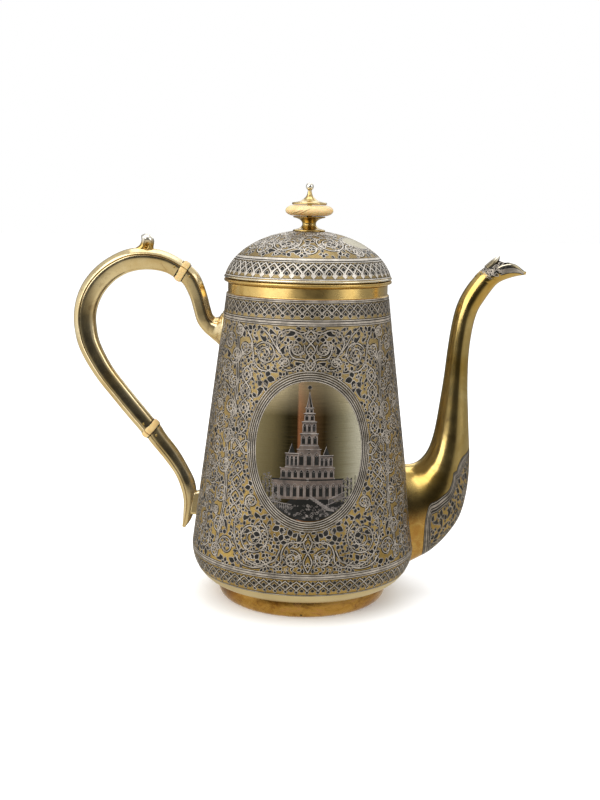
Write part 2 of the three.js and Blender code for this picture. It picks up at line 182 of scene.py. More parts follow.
class Shader(Nodes):
    """A material whose surface has the constant values given, with noise in cycles a metre."""

    def __init__(self, name, **values):
        self.material = bpy.data.materials.new(name)
        self.material.use_nodes = True
        super().__init__(self.material.node_tree)
        self.surface = self.tree.nodes["Principled BSDF"]
        self.place = self.add("ShaderNodeTexCoord").outputs["Object"]
        for value_name, value in values.items():
            self.surface.inputs[value_name.replace("_", " ")].default_value = value

    def stretched(self, scale):
        """Places scaled by one number or by one for each axis."""
        steps = scale if isinstance(scale, tuple) else (scale, scale, scale)
        return self.add("ShaderNodeMapping", {"Vector": self.place, "Scale": steps}).outputs["Vector"]

    def noise(self, scale, detail=3.0, roughness=0.55, distortion=0.0):
        values = {"Vector": self.stretched(scale), "Scale": 1.0, "Detail": detail}
        values |= {"Roughness": roughness, "Distortion": distortion}
        return self.add("ShaderNodeTexNoise", values).outputs["Fac"]

    def cells(self, scale, feature="F1"):
        values = {"Vector": self.stretched(scale), "Scale": 1.0}
        return self.add("ShaderNodeTexVoronoi", values, feature=feature).outputs["Distance"]

    def axis(self, name):
        """A place's X, Y or Z, in metres."""
        return self.add("ShaderNodeSeparateXYZ", {"Vector": self.place}).outputs[name]

    def bump(self, source, distance, strength, under=None):
        values = {"Height": source, "Distance": distance, "Strength": strength}
        if under is not None:
            values["Normal"] = under
        return self.add("ShaderNodeBump", values).outputs["Normal"]

    def rough(self, source, low, high):
        """A roughness from low to high, by a noise."""
        return self.between(source, 0.3, 0.7, low, high)

    def finish(self, colour, roughness, normal):
        for name, value in (("Base Color", colour), ("Roughness", roughness), ("Normal", normal)):
            self.feed(self.surface.inputs[name], value)
        return self.material


WORN_SILVER_HIGHLIGHT = (0.9, 0.87, 0.78)
AMBER_STAIN = (0.4, 0.19, 0.045)
RUBBED_GROUND = (0.27, 0.24, 0.165)
BONE_UNDERSIDE_SHADE = (0.4, 0.22, 0.06)


def polished_gilt(name, bright, deep, stain, roughness, stained, crown=None, low=None):
    """Burnished gilding: broad tarnish, fine wear and hairline scratches.

    It is worn to silver with a painted highlight up through crown and stained down through low, pairs of
    heights in mm.
    """
    shader = Shader(name, Metallic=1.0)
    colour = shader.ramp(shader.noise(38, 4, 0.6, 0.4), [(0.3, deep), (0.62, bright)])
    spots = shader.between(shader.noise(150, 6, 0.7, 0.8), 0.56, 0.78, 0, stained)
    colour = shader.mixed(spots, colour, stain)
    if crown:
        # Wear and painted highlight: paler up to bare silver by height alone.
        worn = shader.between(shader.axis("Z"), crown[0] * MM, crown[1] * MM, 0.0, 1.0)
        colour = shader.mixed(worn, colour, WORN_SILVER_HIGHLIGHT)
    if low:
        patchy = shader.between(shader.noise(190, 6, 0.75, 1.0), 0.3, 0.62, 0.15, 0.8)
        down = shader.between(shader.axis("Z"), low[0] * MM, low[1] * MM, 1.0, 0.0)
        colour = shader.mixed(shader.product(patchy, down), colour, AMBER_STAIN)
    rough = shader.between(shader.noise(90, 5, 0.65), 0.3, 0.75, roughness * 0.7, roughness * 1.6)
    waves = shader.bump(shader.noise(120, 2), 0.00006, 0.35)
    hair = shader.noise((60, 900, 2600), 2, 0.5)
    return shader.finish(colour, rough, shader.bump(hair, 0.00001, 0.6, waves))


def satin_gilt(name, bright, deep, roughness):
    """Pale matted gilding, brushed round the pot."""
    shader = Shader(name, Metallic=1.0)
    colour = shader.ramp(shader.noise((30, 30, 90), 5, 0.6), [(0.32, deep), (0.66, bright)])
    rings = shader.noise((50, 50, 5200), 3, 0.6)
    colour = shader.mixed(shader.between(rings, 0.4, 0.8, 0, 0.22), colour, deep)
    grain = shader.noise(2600, 4, 0.7)
    rough = shader.rough(grain, roughness * 0.8, roughness * 1.25)
    normal = shader.bump(grain, 0.00002, 0.5, shader.bump(rings, 0.00002, 0.5))
    return shader.finish(colour, rough, normal)


def stippled_gilt(name, bright, deep, dark, roughness):
    """The punched ground between the ornament: tiny pits in gilding that is rubbed greyer higher up."""
    shader = Shader(name, Metallic=0.85)
    colour = shader.ramp(shader.noise(45, 5, 0.65, 0.5), [(0.3, deep), (0.7, bright)])
    pits = shader.cells(2300)
    colour = shader.mixed(shader.between(pits, 0.05, 0.42, 0.75, 0.0), colour, dark)
    rubbed = shader.between(shader.axis("Z"), 0.03, 0.15, 0.0, 0.42)
    colour = shader.mixed(rubbed, colour, RUBBED_GROUND)
    rough = shader.rough(shader.noise(700, 4), roughness * 0.8, roughness * 1.3)
    return shader.finish(colour, rough, shader.bump(pits, 0.00007, 0.8))


def silver_line(name, bright, dull, roughness):
    """Bright-cut silver between the niello, its cuts too fine to mirror anything."""
    shader = Shader(name, Metallic=0.45)
    colour = shader.ramp(shader.noise(160, 5, 0.7), [(0.3, dull), (0.62, bright)])
    wear = shader.noise(1800, 3, 0.6)
    rough = shader.rough(wear, roughness * 0.75, roughness * 1.3)
    return shader.finish(colour, rough, shader.bump(wear, 0.00001, 0.5))


def niello(name, deep, worn):
    """Black sulphide inlay, rubbed greyer where hands have polished it."""
    shader = Shader(name, Metallic=0.0, IOR=1.45, Specular_IOR_Level=0.3)
    colour = shader.ramp(shader.noise(120, 6, 0.7), [(0.5, deep), (0.85, worn)])
    pores = shader.noise(3000, 3, 0.6)
    rough = shader.rough(pores, 0.3, 0.55)
    return shader.finish(colour, rough, shader.bump(pores, 0.00001, 0.5))


def bone(name, light, dark, crack, cracked, under=0.0):
    """Old polished bone, grain and broken drying cracks; painted shade browns it low on the knob by the
    share under.
    """
    shader = Shader(name, Subsurface_Weight=0.18, Subsurface_Scale=0.002, IOR=1.5)
    tone = shader.ramp(shader.noise(75, 6, 0.68, 0.6), [(0.28, dark), (0.7, light)])
    grain = shader.noise((1400, 180, 1400), 4, 0.6, 0.6)
    tone = shader.mixed(shader.between(grain, 0.5, 0.8, 0, 0.35), tone, dark)
    # Painted shade: browner towards the knob's underside.
    low, high = DISC_LOW[2] * MM, DISC_HIGH[2] * MM
    shade = shader.between(shader.axis("Z"), low, low * 0.4 + high * 0.6, under, 0.0)
    tone = shader.mixed(shade, tone, BONE_UNDERSIDE_SHADE)
    edges = shader.cells((260, 420, 260), "DISTANCE_TO_EDGE")
    lines = shader.between(edges, 0.0, 0.035, 0.85, 0.0)
    fade = shader.between(shader.noise(140, 3), 0.42, 0.6, 0, cracked)
    broken = shader.product(lines, fade)
    tone = shader.mixed(broken, tone, crack)
    rough = shader.rough(grain, 0.22, 0.42)
    sunk = shader.between(broken, 0, 1, 1, 0)
    normal = shader.bump(sunk, 0.00004, 0.6, shader.bump(grain, 0.00003, 0.4))
    return shader.finish(tone, rough, normal)


def foot_gilt(name):
    """Gilding worn to amber and copper on the foot."""
    shader = Shader(name, Metallic=1.0)
    broad = shader.noise((26, 26, 60), 6, 0.68, 0.9)
    dark, amber = (0.07, 0.03, 0.007), (0.33, 0.15, 0.025)
    gold, copper = (0.5, 0.29, 0.07), (0.53, 0.23, 0.13)
    colour = shader.ramp(broad, [(0.26, dark), (0.42, amber), (0.56, gold), (0.74, copper)])
    blotch = shader.between(shader.noise((140, 140, 220), 5, 0.7, 1.2), 0.5, 0.72, 0, 0.7)
    colour = shader.mixed(blotch, colour, (0.16, 0.06, 0.02))
    pitting = shader.noise(420, 5, 0.7)
    rough = shader.rough(pitting, 0.14, 0.36)
    normal = shader.bump(pitting, 0.00008, 0.5, shader.bump(broad, 0.0003, 0.5))
    return shader.finish(colour, rough, normal)


def engraved_sky(name):
    """The medallion's sky: gilding scraped in fine level lines, with painted reflections in upright bands.
    """
    shader = Shader(name, Metallic=1.0)
    # Painted reflections: dark and bright upright bands across the sky.
    across = shader.between(shader.axis("X"), -0.022, 0.034, 0, 1)
    tone = shader.ramp(
        across,
        [
            (0.0, (0.2, 0.17, 0.09)), (0.2, (0.13, 0.105, 0.05)), (0.34, (0.025, 0.02, 0.008)),
            (0.41, (0.05, 0.03, 0.01)), (0.425, (0.62, 0.25, 0.11)), (0.5, (0.36, 0.2, 0.09)),
            (0.64, (0.07, 0.043, 0.015)), (0.8, (0.3, 0.27, 0.165)), (0.95, (0.58, 0.55, 0.42)),
        ],
    )
    cream, scraped = (0.95, 0.8, 0.5), (0.12, 0.09, 0.04)
    tone = shader.mixed(shader.between(shader.axis("Z"), 0.102, 0.12, 0, 0.6), tone, cream)
    lines = shader.noise((70, 70, 5200), 3, 0.7)
    tone = shader.mixed(shader.between(lines, 0.45, 0.7, 0, 0.4), tone, scraped)
    rough = shader.rough(lines, 0.3, 0.5)
    return shader.finish(tone, rough, shader.bump(lines, 0.00004, 0.6))


def pale_floor(name):
    shader = Shader(name, Specular_IOR_Level=0.0)
    colour = shader.ramp(shader.noise(9, 4, 0.5), [(0.2, 0.9), (0.8, 0.93)])
    rough = shader.rough(shader.noise(600, 3), 0.6, 0.75)
    return shader.finish(colour, rough, shader.bump(shader.noise(900, 3), 0.00002, 0.3))


GROUND = stippled_gilt("stippled_ground", (0.5, 0.34, 0.1), (0.25, 0.16, 0.045), (0.06, 0.036, 0.012), 0.42)
PLAIN = polished_gilt("plain_gilt", (0.74, 0.53, 0.2), (0.52, 0.34, 0.1), (0.26, 0.13, 0.035), 0.25, 0.7)
PALE = satin_gilt("pale_gilt", (0.74, 0.63, 0.38), (0.56, 0.44, 0.22), 0.36)
COPPER_STAIN = (0.2, 0.08, 0.015)
MIRROR = polished_gilt(
    "mirror_gilt", (0.76, 0.58, 0.24), (0.5, 0.32, 0.07), COPPER_STAIN, 0.17, 0.6, low=(44.0, 55.0)
)
HANDLE = polished_gilt("handle_gilt", (0.9, 0.77, 0.49), (0.68, 0.5, 0.22), COPPER_STAIN, 0.17, 0.55)
# The thumb rest, finial and crest are paler to silver up through their crowns: wear and a painted highlight.
THUMB = polished_gilt(
    "thumb_gilt", (0.7, 0.5, 0.18), (0.34, 0.2, 0.05), (0.1, 0.05, 0.01), 0.2, 0.7, (179.6, 182.2)
)
FINIAL_TOP = polished_gilt(
    "finial_top_gilt", (0.84, 0.68, 0.36), (0.62, 0.45, 0.18), (0.2, 0.1, 0.03), 0.2, 0.4, (206.5, 208.5)
)
# Pale gilding: worn edges, and on the beak's lip a painted highlight.
WEAR_AND_HIGHLIGHT = polished_gilt("wear_and_highlight_gilt", (0.9, 0.86, 0.74), (0.74, 0.64, 0.4), (0.4, 0.26, 0.08), 0.16, 0.4)
PLATE = satin_gilt("plate_gilt", (0.56, 0.53, 0.43), (0.4, 0.37, 0.27), 0.42)
# Near-black gilding as painted shade in the strainer's bores and inside the beak.
PAINTED_SHADE_INSIDE = satin_gilt("painted_shade_inside", (0.1, 0.06, 0.02), (0.03, 0.02, 0.01), 0.45)
CREST = polished_gilt(
    "crest_gilt", (0.36, 0.31, 0.21), (0.2, 0.165, 0.1), (0.03, 0.02, 0.015), 0.28, 0.9, (174.4, 176.6)
)
FINIAL = polished_gilt("finial_gilt", (0.72, 0.55, 0.22), (0.45, 0.3, 0.09), (0.22, 0.12, 0.03), 0.2, 0.6)
INSIDE = satin_gilt("inside_gilt", (0.66, 0.5, 0.22), (0.44, 0.3, 0.1), 0.3)
FOOT = foot_gilt("foot_gilt")
SILVER = silver_line("bright_silver", (0.39, 0.345, 0.29), (0.13, 0.11, 0.085), 0.4)
SHIELD_SILVER = silver_line("shield_silver", (0.27, 0.235, 0.19), (0.08, 0.066, 0.05), 0.42)
LID_SILVER = silver_line("lid_silver", (0.62, 0.575, 0.51), (0.34, 0.31, 0.27), 0.4)
DIM_SILVER = silver_line("dim_silver", (0.27, 0.24, 0.22), (0.11, 0.095, 0.09), 0.5)
NIELLO = niello("niello", (0.006, 0.006, 0.005), (0.035, 0.034, 0.032))
BONE = bone("knob_bone", (0.68, 0.53, 0.28), (0.54, 0.36, 0.14), (0.22, 0.1, 0.03), 0.5, 0.85)
RING_BONE = bone("ring_bone", (0.62, 0.46, 0.2), (0.48, 0.32, 0.12), (0.3, 0.16, 0.04), 0.3)
CRACK = niello("bone_crack", (0.16, 0.07, 0.015), (0.24, 0.12, 0.03))
SKY = engraved_sky("engraved_sky")
STONE = silver_line("engraved_stone", (0.14, 0.105, 0.085), (0.04, 0.033, 0.03), 0.5)


# ---- meshes ----
SHARP = math.radians(38)


def put(name, points, faces, material, body, nodes=()):
    """A smooth piece from points in millimetres, which rides on a body."""
    places = np.array(points, float).reshape(-1, 3)
    places[:, 0] += AXIS_X
    mesh = bpy.data.meshes.new(name)
    mesh.from_pydata((places * MM).tolist(), [], [list(face) for face in faces])
    mesh.validate()
    mesh.polygons.foreach_set("use_smooth", [True] * len(mesh.polygons))
    mesh.set_sharp_from_angle(angle=SHARP)
    mesh.materials.append(material)
    piece = bpy.data.objects.new(name, mesh)
    bpy.context.scene.collection.objects.link(piece)
    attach(piece, body)
    if nodes:
        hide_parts(*nodes)
    return piece


def grid_faces(rows, columns, wrap):
    """Quads over rows of points; wrap joins the last column to the first."""
    faces = []
    last = columns if wrap else columns - 1
    for i in range(rows - 1):
        for j in range(last):
            a, b = i * columns + j, i * columns + (j + 1) % columns
            faces.append((a, b, b + columns, a + columns))
    return faces


def circle(sides):
    """Turns round a circle, its end left out."""
    return np.linspace(0, 2 * math.pi, sides + 1)[:-1]


def arc(start, end, steps):
    return [start + (end - start) * i / steps for i in range(steps + 1)]


def lathe(outline, turns=TURNS, closed=True):
    """A turned surface. A closed outline runs clockwise seen with Z up and the radius to the right."""
    rows = list(outline) + ([outline[0]] if closed else [])
    angles = np.arange(turns) * 2 * math.pi / turns
    radius, height = np.array(rows, float).T[:, :, None]
    points = np.stack([radius * np.sin(angles), -radius * np.cos(angles), height + 0 * angles], -1)
    return points.reshape(-1, 3), grid_faces(len(rows), turns, True)


def welded(piece):
    """Joins a piece's doubled points, such as a turned piece's poles and seams."""
    cloth = bmesh.new()
    cloth.from_mesh(piece.data)
    bmesh.ops.remove_doubles(cloth, verts=cloth.verts, dist=0.000001)
    bmesh.ops.recalc_face_normals(cloth, faces=cloth.faces)
    cloth.to_mesh(piece.data)
    cloth.free()
    return piece


def eased(outline, radius, closed=True):
    """An outline with its corners turned into short arcs."""
    points = [np.array(p, float) for p in outline]
    count = len(points)
    made = []
    for i, corner in enumerate(points):
        ends = not closed and i in (0, count - 1)
        before, after = points[i - 1], points[(i + 1) % count]
        back, on = before - corner, after - corner
        back_run, on_run = np.linalg.norm(back), np.linalg.norm(on)
        if ends or min(back_run, on_run) < 1e-6:
            made.append(tuple(corner))
            continue
        cut = min(radius, 0.42 * back_run, 0.42 * on_run)
        start, end = corner + back * cut / back_run, corner + on * cut / on_run
        for t in arc(0, 1, 3):
            made.append(tuple(start * (1 - t) ** 2 + corner * 2 * t * (1 - t) + end * t**2))
    return made


def smooth_run(stations, count):
    """Rows of numbers on a Catmull-Rom curve through the stations, evenly spread between them."""
    rows = np.array(stations, float)
    padded = np.vstack([2 * rows[0] - rows[1], rows, 2 * rows[-1] - rows[-2]])
    made = []
    for t in np.linspace(0, len(rows) - 1 - 1e-9, count):
        i = int(t)
        f = t - i
        a, b, c, d = padded[i : i + 4]
        straight = 2 * b + (c - a) * f
        made.append(0.5 * (straight + (2 * a - 5 * b + 4 * c - d) * f**2 + (3 * b - a - 3 * c + d) * f**3))
    return np.array(made)


def turned_piece(name, outline, material, body, nodes, turns=TURNS, ease=0.25):
    points, faces = lathe(eased(outline, ease), turns)
    return welded(put(name, points, faces, material, body, nodes))


def turned_sheet(name, outline, material, body, nodes):
    """A turned surface that is open between its outline's ends."""
    points, faces = lathe(outline, TURNS, False)
    return welded(put(name, points, faces, material, body, nodes))


# ---- body ----
def cone_r(z):
    return BODY_R - TAPER * (z - BODY_WIDE_Z)


def lower_edge(inset, low_z, high_z, steps):
    """The rounded lower edge between two heights, from the bottom up."""
    drop = BODY_WIDE_Z - FOOT_TOP_Z - inset
    reach = BODY_TURN_IN - inset
    middle_r = BODY_R - BODY_TURN_IN
    first, last = [math.asin(min(1, (BODY_WIDE_Z - z) / drop)) for z in (low_z, high_z)]
    turns = arc(first, last, steps)
    return [(middle_r + reach * math.cos(turn), BODY_WIDE_Z - drop * math.sin(turn)) for turn in turns]


def side_outline(edge_steps, steps):
    """The body's outside, from its lower band up to its collar."""
    edge = lower_edge(0, BAND_TOP_Z, BODY_WIDE_Z, edge_steps)
    return edge + [(cone_r(z), z) for z in arc(BODY_WIDE_Z, SIDE_TOP_Z, steps)[1:]]


def add_body():
    turned_sheet("body_skin", side_outline(18, 26), GROUND, "pot", ("body_shell",))
    band = lower_edge(0, FOOT_TOP_Z, BAND_TOP_Z, 12)
    turned_sheet("body_lower_band", band, PALE, "pot", ("body_shell",))
    inner_r = COLLAR_R - WALL
    collar = [(cone_r(SIDE_TOP_Z), SIDE_TOP_Z), (COLLAR_R, COLLAR_Z), (COLLAR_R, COLLAR_TOP_Z)]
    collar += [(inner_r, COLLAR_TOP_Z), (inner_r, INNER_STEP_Z)]
    collar = eased(collar, 0.25, closed=False)
    turned_sheet("body_collar", collar, PLAIN, "pot", ("body_shell",))
    inner = [(inner_r, INNER_STEP_Z)]
    inner += [(cone_r(z) - WALL, z) for z in arc(BODY_WIDE_Z, INNER_STEP_Z, 8)[-2::-1]]
    inner += lower_edge(WALL, FOOT_TOP_Z + WALL, BODY_WIDE_Z, 14)[::-1][1:]
    turned_sheet("body_inside", inner, INSIDE, "pot", ("body_shell",))
    add_strainer()
    edge = BODY_R - BODY_TURN_IN - 0.3
    low = FOOT_TOP_Z + 0.1
    ripples = [(r, low + WALL + 0.12 * math.cos(r / 1.6)) for r in arc(edge, 0, 60)]
    under = [(r, low + 0.1 * math.cos(r / 2.2)) for r in arc(0, edge, 60)]
    points, faces = lathe(ripples + under)
    welded(put("bottom_plate", points, faces, INSIDE, "pot", ("body_bottom",)))


def add_strainer():
    """The mouths of the bores behind the spout, painted shade as dark dishes in the inner wall."""
    hole_r, pitch, middle_z, sides = 1.6, 5.2, 44, 24
    points, faces = [], []
    for row in range(-3, 4):
        for column in (-1, 0, 1) if row % 2 == 0 else (-0.5, 0.5):
            start = len(points)
            for reach, sink in ((hole_r + 0.2, 0.0), (hole_r, 0.12), (0.1, 0.06)):
                for turn in circle(sides):
                    y = column * pitch + reach * math.cos(turn)
                    z = middle_z + row * pitch + reach * math.sin(turn)
                    points.append((math.sqrt((cone_r(z) - WALL) ** 2 - y * y) - sink - 0.02, y, z))
            faces += [tuple(start + corner for corner in face) for face in grid_faces(3, sides, True)]
    put("strainer_bores", points, faces, PAINTED_SHADE_INSIDE, "pot", ("body_shell",))


def add_foot():
    top = FOOT_HIGH[2]
    outer = [(41.9, 0.3), (42.3, 0.6), (42.9, 1.3), (43.5, 2.6), (43.95, 4.2), (44.2, 6.0), (44.2, top)]
    outline = [(39.2, 0), (41.4, 0)] + outer + [(40.5, top), (40.5, 2.4), (39.2, 1.2)]
    turned_piece("foot", outline, FOOT, "pot", ("foot_ring",), ease=0.5)
    # Painted shade: a black niello dish stands for the vent hole's dark opening.
    foot_front, vent_z, sides = 43.22, 1.9, 24
    lip = [(0.62, 0.0), (0.5, 0.12), (0.5, -0.2), (0.3, -0.3), (0, -0.3)]
    points = []
    for radius, out in lip:
        for turn in circle(sides):
            points.append((radius * math.cos(turn), -(foot_front + out), vent_z + radius * math.sin(turn)))
    put("vent_hole", points, grid_faces(len(lip), sides, True), NIELLO, "pot")


def add_rim():
    low, top, radius = RIM_LOW[2], RIM_HIGH[2], (RIM_HIGH[0] - RIM_LOW[0]) / 2
    bead = [
        (radius - 0.75 + 0.75 * math.cos(t), top - 0.85 + 0.8 * math.sin(t))
        for t in arc(-math.pi / 2, math.pi / 2, 10)
    ]
    outline = [(COLLAR_R - WALL, low), (COLLAR_R + 0.4, low)] + bead + [(COLLAR_R - WALL, top)]
    turned_piece("rim", outline, PLAIN, "pot", ("rim_moulding",), ease=0.15)


# ---- lid ----
def lid_r(z, inset=0.0):
    return (LID_R - inset) * math.sqrt(max(0, 1 - ((z - LID_CENTRE_Z) / (LID_RISE - inset)) ** 2))


def dome_heights(low, top, steps):
    """Heights up the lid, closer together towards its top."""
    return [low + (top - low) * math.sin(t) for t in arc(0, math.pi / 2, steps)]


def add_lid():
    low, top = DOME_LOW[2], DOME_HIGH[2]
    hole = 1.5
    outer = [(lid_r(z), z) for z in dome_heights(LID_EDGE_Z, top, 40)] + [(hole, top)]
    turned_sheet("dome_skin", outer, GROUND, "lid", ("lid_dome",))
    under = top - WALL - 0.1
    inner = [(lid_r(z, WALL), z) for z in dome_heights(low, under, 20)[::-1]]
    inner = [(hole, top), (hole, under)] + inner + [(lid_r(low), low)]
    turned_sheet("dome_inside", inner, INSIDE, "lid", ("lid_dome",))
    bottom, band_top = BAND_LOW[2], LID_EDGE_Z
    bezel_r = (BEZEL_HIGH[0] - BEZEL_LOW[0]) / 2
    inside_r = bezel_r + 0.3
    outline = [(inside_r, bottom), (lid_r(bottom) - 0.6, bottom), (lid_r(bottom), bottom + 0.6)]
    outline += [(lid_r(bottom + 1.4) + 0.1, bottom + 1.4), (lid_r(band_top) + 0.4, band_top - 0.5)]
    outline += [(lid_r(band_top), band_top), (inside_r, band_top)]
    turned_piece("lid_edge", outline, PLAIN, "lid", ("lid_band",), ease=0.3)
    line_r, line_z = lid_r(bottom) - 0.35, bottom + 0.62
    line = [(line_r + 0.6 * math.cos(t), line_z - 0.5 * math.sin(t)) for t in circle(16)]
    turned_piece("lid_edge_line", line, WEAR_AND_HIGHLIGHT, "lid", ("lid_band",), ease=0.03)
    foot, head = BEZEL_LOW[2], BEZEL_HIGH[2]
    outline = [(bezel_r - WALL, foot), (bezel_r - 0.5, foot), (bezel_r, foot + 0.8)]
    outline += [(bezel_r, head), (bezel_r - WALL, head)]
    turned_piece("bezel", outline, INSIDE, "lid", ("lid_bezel",), ease=0.3)


# ---- finial ----
def raised(outline, low):
    """An outline whose heights are given above a piece's foot."""
    return [(radius, low + height) for radius, height in outline]


def add_finial():
    hole = 1.4
    low, top = STEM_LOW[2], STEM_HIGH[2]
    stem = [(hole, 0), (8.0, 0), (8.15, 0.35), (8.0, 0.75), (7.2, 1.05), (5.6, 1.35), (4.5, 1.9)]
    stem += [(3.75, 2.6), (3.4, 3.4), (3.45, 4.2), (3.9, 5.1), (4.9, 5.9), (6.3, 6.5)]
    stem += [(7.7, 6.8), (8.1, 7.05)]
    stem = raised(stem, low) + [(8.1, top - 0.25), (7.8, top), (hole, top)]
    turned_piece("stem", stem, FINIAL, "lid", ("finial_stem",), SMALL_TURNS, 0.2)
    low, top = DISC_LOW[2], DISC_HIGH[2]
    wide = (DISC_HIGH[0] - DISC_LOW[0]) / 2
    inner, bulge = 7.9, (top - low) / 2
    disc = [(hole, low), (inner, low)]
    for t in arc(-math.pi / 2, math.pi / 2, 16)[1:-1]:
        reach = inner + (wide - inner) * max(0, math.cos(t)) ** 1.1
        disc.append((reach, low + bulge + bulge * math.sin(t)))
    disc += [(inner, top), (hole, top)]
    turned_piece("bone_knob", disc, BONE, "lid", ("knob_disc",), SMALL_TURNS, 0.3)
    add_cracks(disc[2:-2], low + bulge, bulge)
    low, top = CAP_LOW[2], CAP_HIGH[2]
    ball_r = 1.95
    cap = [(hole, 0), (8.3, 0), (8.72, 0.3), (8.77, 0.8), (8.4, 1.2), (7.2, 1.3), (5.9, 1.5), (4.4, 2.0)]
    cap += [(3.0, 2.9), (1.9, 4.0), (1.3, 5.1), (1.0, 6.4)]
    cap = raised(cap, low)
    for t in arc(-1.05, math.pi / 2, 14):
        cap.append((ball_r * math.cos(t), top - ball_r + ball_r * math.sin(t)))
    cap += raised([(0, 3), (hole, 3)], low)
    turned_piece("cap", cap, FINIAL_TOP, "lid", ("finial_cap",), SMALL_TURNS, 0.15)
    (_, rod_left, low), (_, rod_right, top) = span("finial_rod")
    rod_r = (rod_right - rod_left) / 2
    pitch = 0.5
    outline = [(0, low)]
    for i in range(int((top - low) / pitch)):
        outline += [(rod_r - 0.22, low + i * pitch), (rod_r, low + i * pitch + pitch / 2)]
    outline += [(rod_r - 0.2, top), (0, top)]
    turned_piece("rod", outline, INSIDE, "lid", ("finial_rod",), 48, 0.05)
    for name, node, sides in (("washer", "finial_washer", 64), ("nut", "finial_nut", 6)):
        (left, _, low), (right, _, top) = span(node)
        radius = (right - left) / 2
        ring = [(hole, low), (radius - 0.3, low), (radius, low + 0.25), (radius, top - 0.2)]
        ring += [(radius - 0.2, top), (hole, top)]
        turned_piece(name, ring, INSIDE, "lid", (node,), sides, 0.1)


def add_cracks(side, middle, bulge):
    """Two slanting drying cracks in the knob's front."""
    skin = Skin(side)
    cracks = Tracery()
    for first, last, high, low in ((0.03, -0.56, 0.3, -0.9), (-0.27, -0.86, 0.0, -0.66)):
        t = np.linspace(0, 1, 24)
        height = middle + bulge * (high + (low - high) * t) + 0.05 * np.sin(9 * t)
        path = np.stack([first + (last - first) * t, skin.run_at(height)], -1)
        cracks.ribbon("niello", skin, path, 0.12 + 0.2 * np.sin(math.pi * t), 0.03)
    cracks.finish("knob_cracks", "lid", "bone", "knob_disc", niello=CRACK)


# ---- spout ----
# Inner edge x and z, outer edge x and z, and half the width across, from the body to the mouth.
SPOUT = [
    (48.5, 68.6, 54.5, 15.5, 13), (55, 68.8, 60.5, 18.8, 13.6), (58.5, 70.1, 67.5, 23.4, 13.8),
    (61.3, 72.6, 75.2, 31.5, 13.4), (63.9, 76.7, 81.6, 42, 12.2), (66, 83, 84.8, 56, 10.4),
    (67.5, 91, 85.5, 72, 8.6), (69.2, 104, 84.2, 91, 7), (70.6, 116.2, 82.9, 110, 6),
    (71.7, 128.6, 82.7, 126.4, 5.6), (73.2, 141, 83.9, 139.6, 5.5), (75, 150, 86, 148.6, 5.5),
    (77.6, 156.8, 88.9, 154, 5.5), (81, 162.6, 92, 158.8, 5.5), (85.2, 168.1, 95, 162.9, 5.4),
]
BEAK = [
    SPOUT[-1], (90.6, 172.4, 98.2, 164.6, 5.3), (96.2, 175.4, 102.2, 166.1, 5.1),
    (103.2, 176, 106, 167, 3.6), (109.4, 172, 109.2, 167.6, 1),
]
MOUTH_CUT = [
    (94.3, 171), (96.3, 172.1), (99.1, 172.9), (101.2, 173.1), (103.3, 172.5), (105.4, 171.2),
    (107.3, 169.7), (112, 168.2),
]
SPOUT_SIDES = 96
BEAK_SHIFT = np.array([0.2, 0, 0.15])
RIM_TURNS = np.linspace(0, math.pi, 400)


class Spout:
    """The spout's skin: run from 0 to 1 along it, turn about it from the inner edge."""

    def __init__(self, stations):
        self.count = 400
        self.rows = smooth_run(stations, self.count)

    def point(self, run, turn, lift=0.0):
        run, turn = np.broadcast_arrays(np.asarray(run, float), np.asarray(turn, float))
        where = np.clip(run, 0, 1) * (self.count - 1)
        rows = np.stack([np.interp(where, np.arange(self.count), column) for column in self.rows.T], -1)
        ax, az, bx, bz, half = np.moveaxis(rows, -1, 0)
        reach = np.hypot(ax - bx, az - bz) / 2
        grow = (reach + lift) / reach * np.cos(turn)
        x = (ax + bx) / 2 + (ax - bx) / 2 * grow
        z = (az + bz) / 2 + (az - bz) / 2 * grow
        y = (half + lift) * np.sin(turn)
        return np.stack([x, y, z], -1)


def add_spout():
    skin = Spout(SPOUT)
    runs = np.linspace(0, 1, 150)[:, None]
    turns = circle(SPOUT_SIDES)[None, :]
    lip = skin.point(1.0, turns, -WALL / 2) + np.array([0.02, 0, 0.05])
    rows = np.concatenate([skin.point(runs, turns), lip, skin.point(runs[::-1], turns, -WALL)])
    faces = grid_faces(len(rows), SPOUT_SIDES, True)
    piece = put("spout", rows, faces, MIRROR, "pot", ("spout_shell",))
    trim_inside_body(piece)
    return skin


def trim_inside_body(piece):
    """Drops the part of a soldered piece that lies inside the body's wall."""
    depth = 0.6

    def hidden(vert):
        x, y, z = vert.co.x / MM - AXIS_X, vert.co.y / MM, vert.co.z / MM
        return math.hypot(x, y) <= skin_r(z) - depth

    cloth = bmesh.new()
    cloth.from_mesh(piece.data)
    faces = [face for face in cloth.faces if all(hidden(vert) for vert in face.verts)]
    bmesh.ops.delete(cloth, geom=faces, context="FACES")
    cloth.to_mesh(piece.data)
    cloth.free()


def skin_r(z):
    """The body's outer radius at a height."""
    if z >= BODY_WIDE_Z:
        return cone_r(z)
    drop = min(1.0, (BODY_WIDE_Z - z) / (BODY_WIDE_Z - FOOT_TOP_Z))
    return BODY_R - BODY_TURN_IN + BODY_TURN_IN * math.sqrt(max(0, 1 - drop * drop))


def rim_step(skin, run, lift=0.0):
    """The last step of RIM_TURNS from the beak's inner edge that the mouth cuts off, or -1."""
    cut_x, cut_z = zip(*MOUTH_CUT)
    places = skin.point(run, RIM_TURNS, lift)
    above = (places[:, 0] > cut_x[0]) & (places[:, 2] > np.interp(places[:, 0], cut_x, cut_z))
    return np.nonzero(above)[0].max() if above.any() and not above.all() else -1


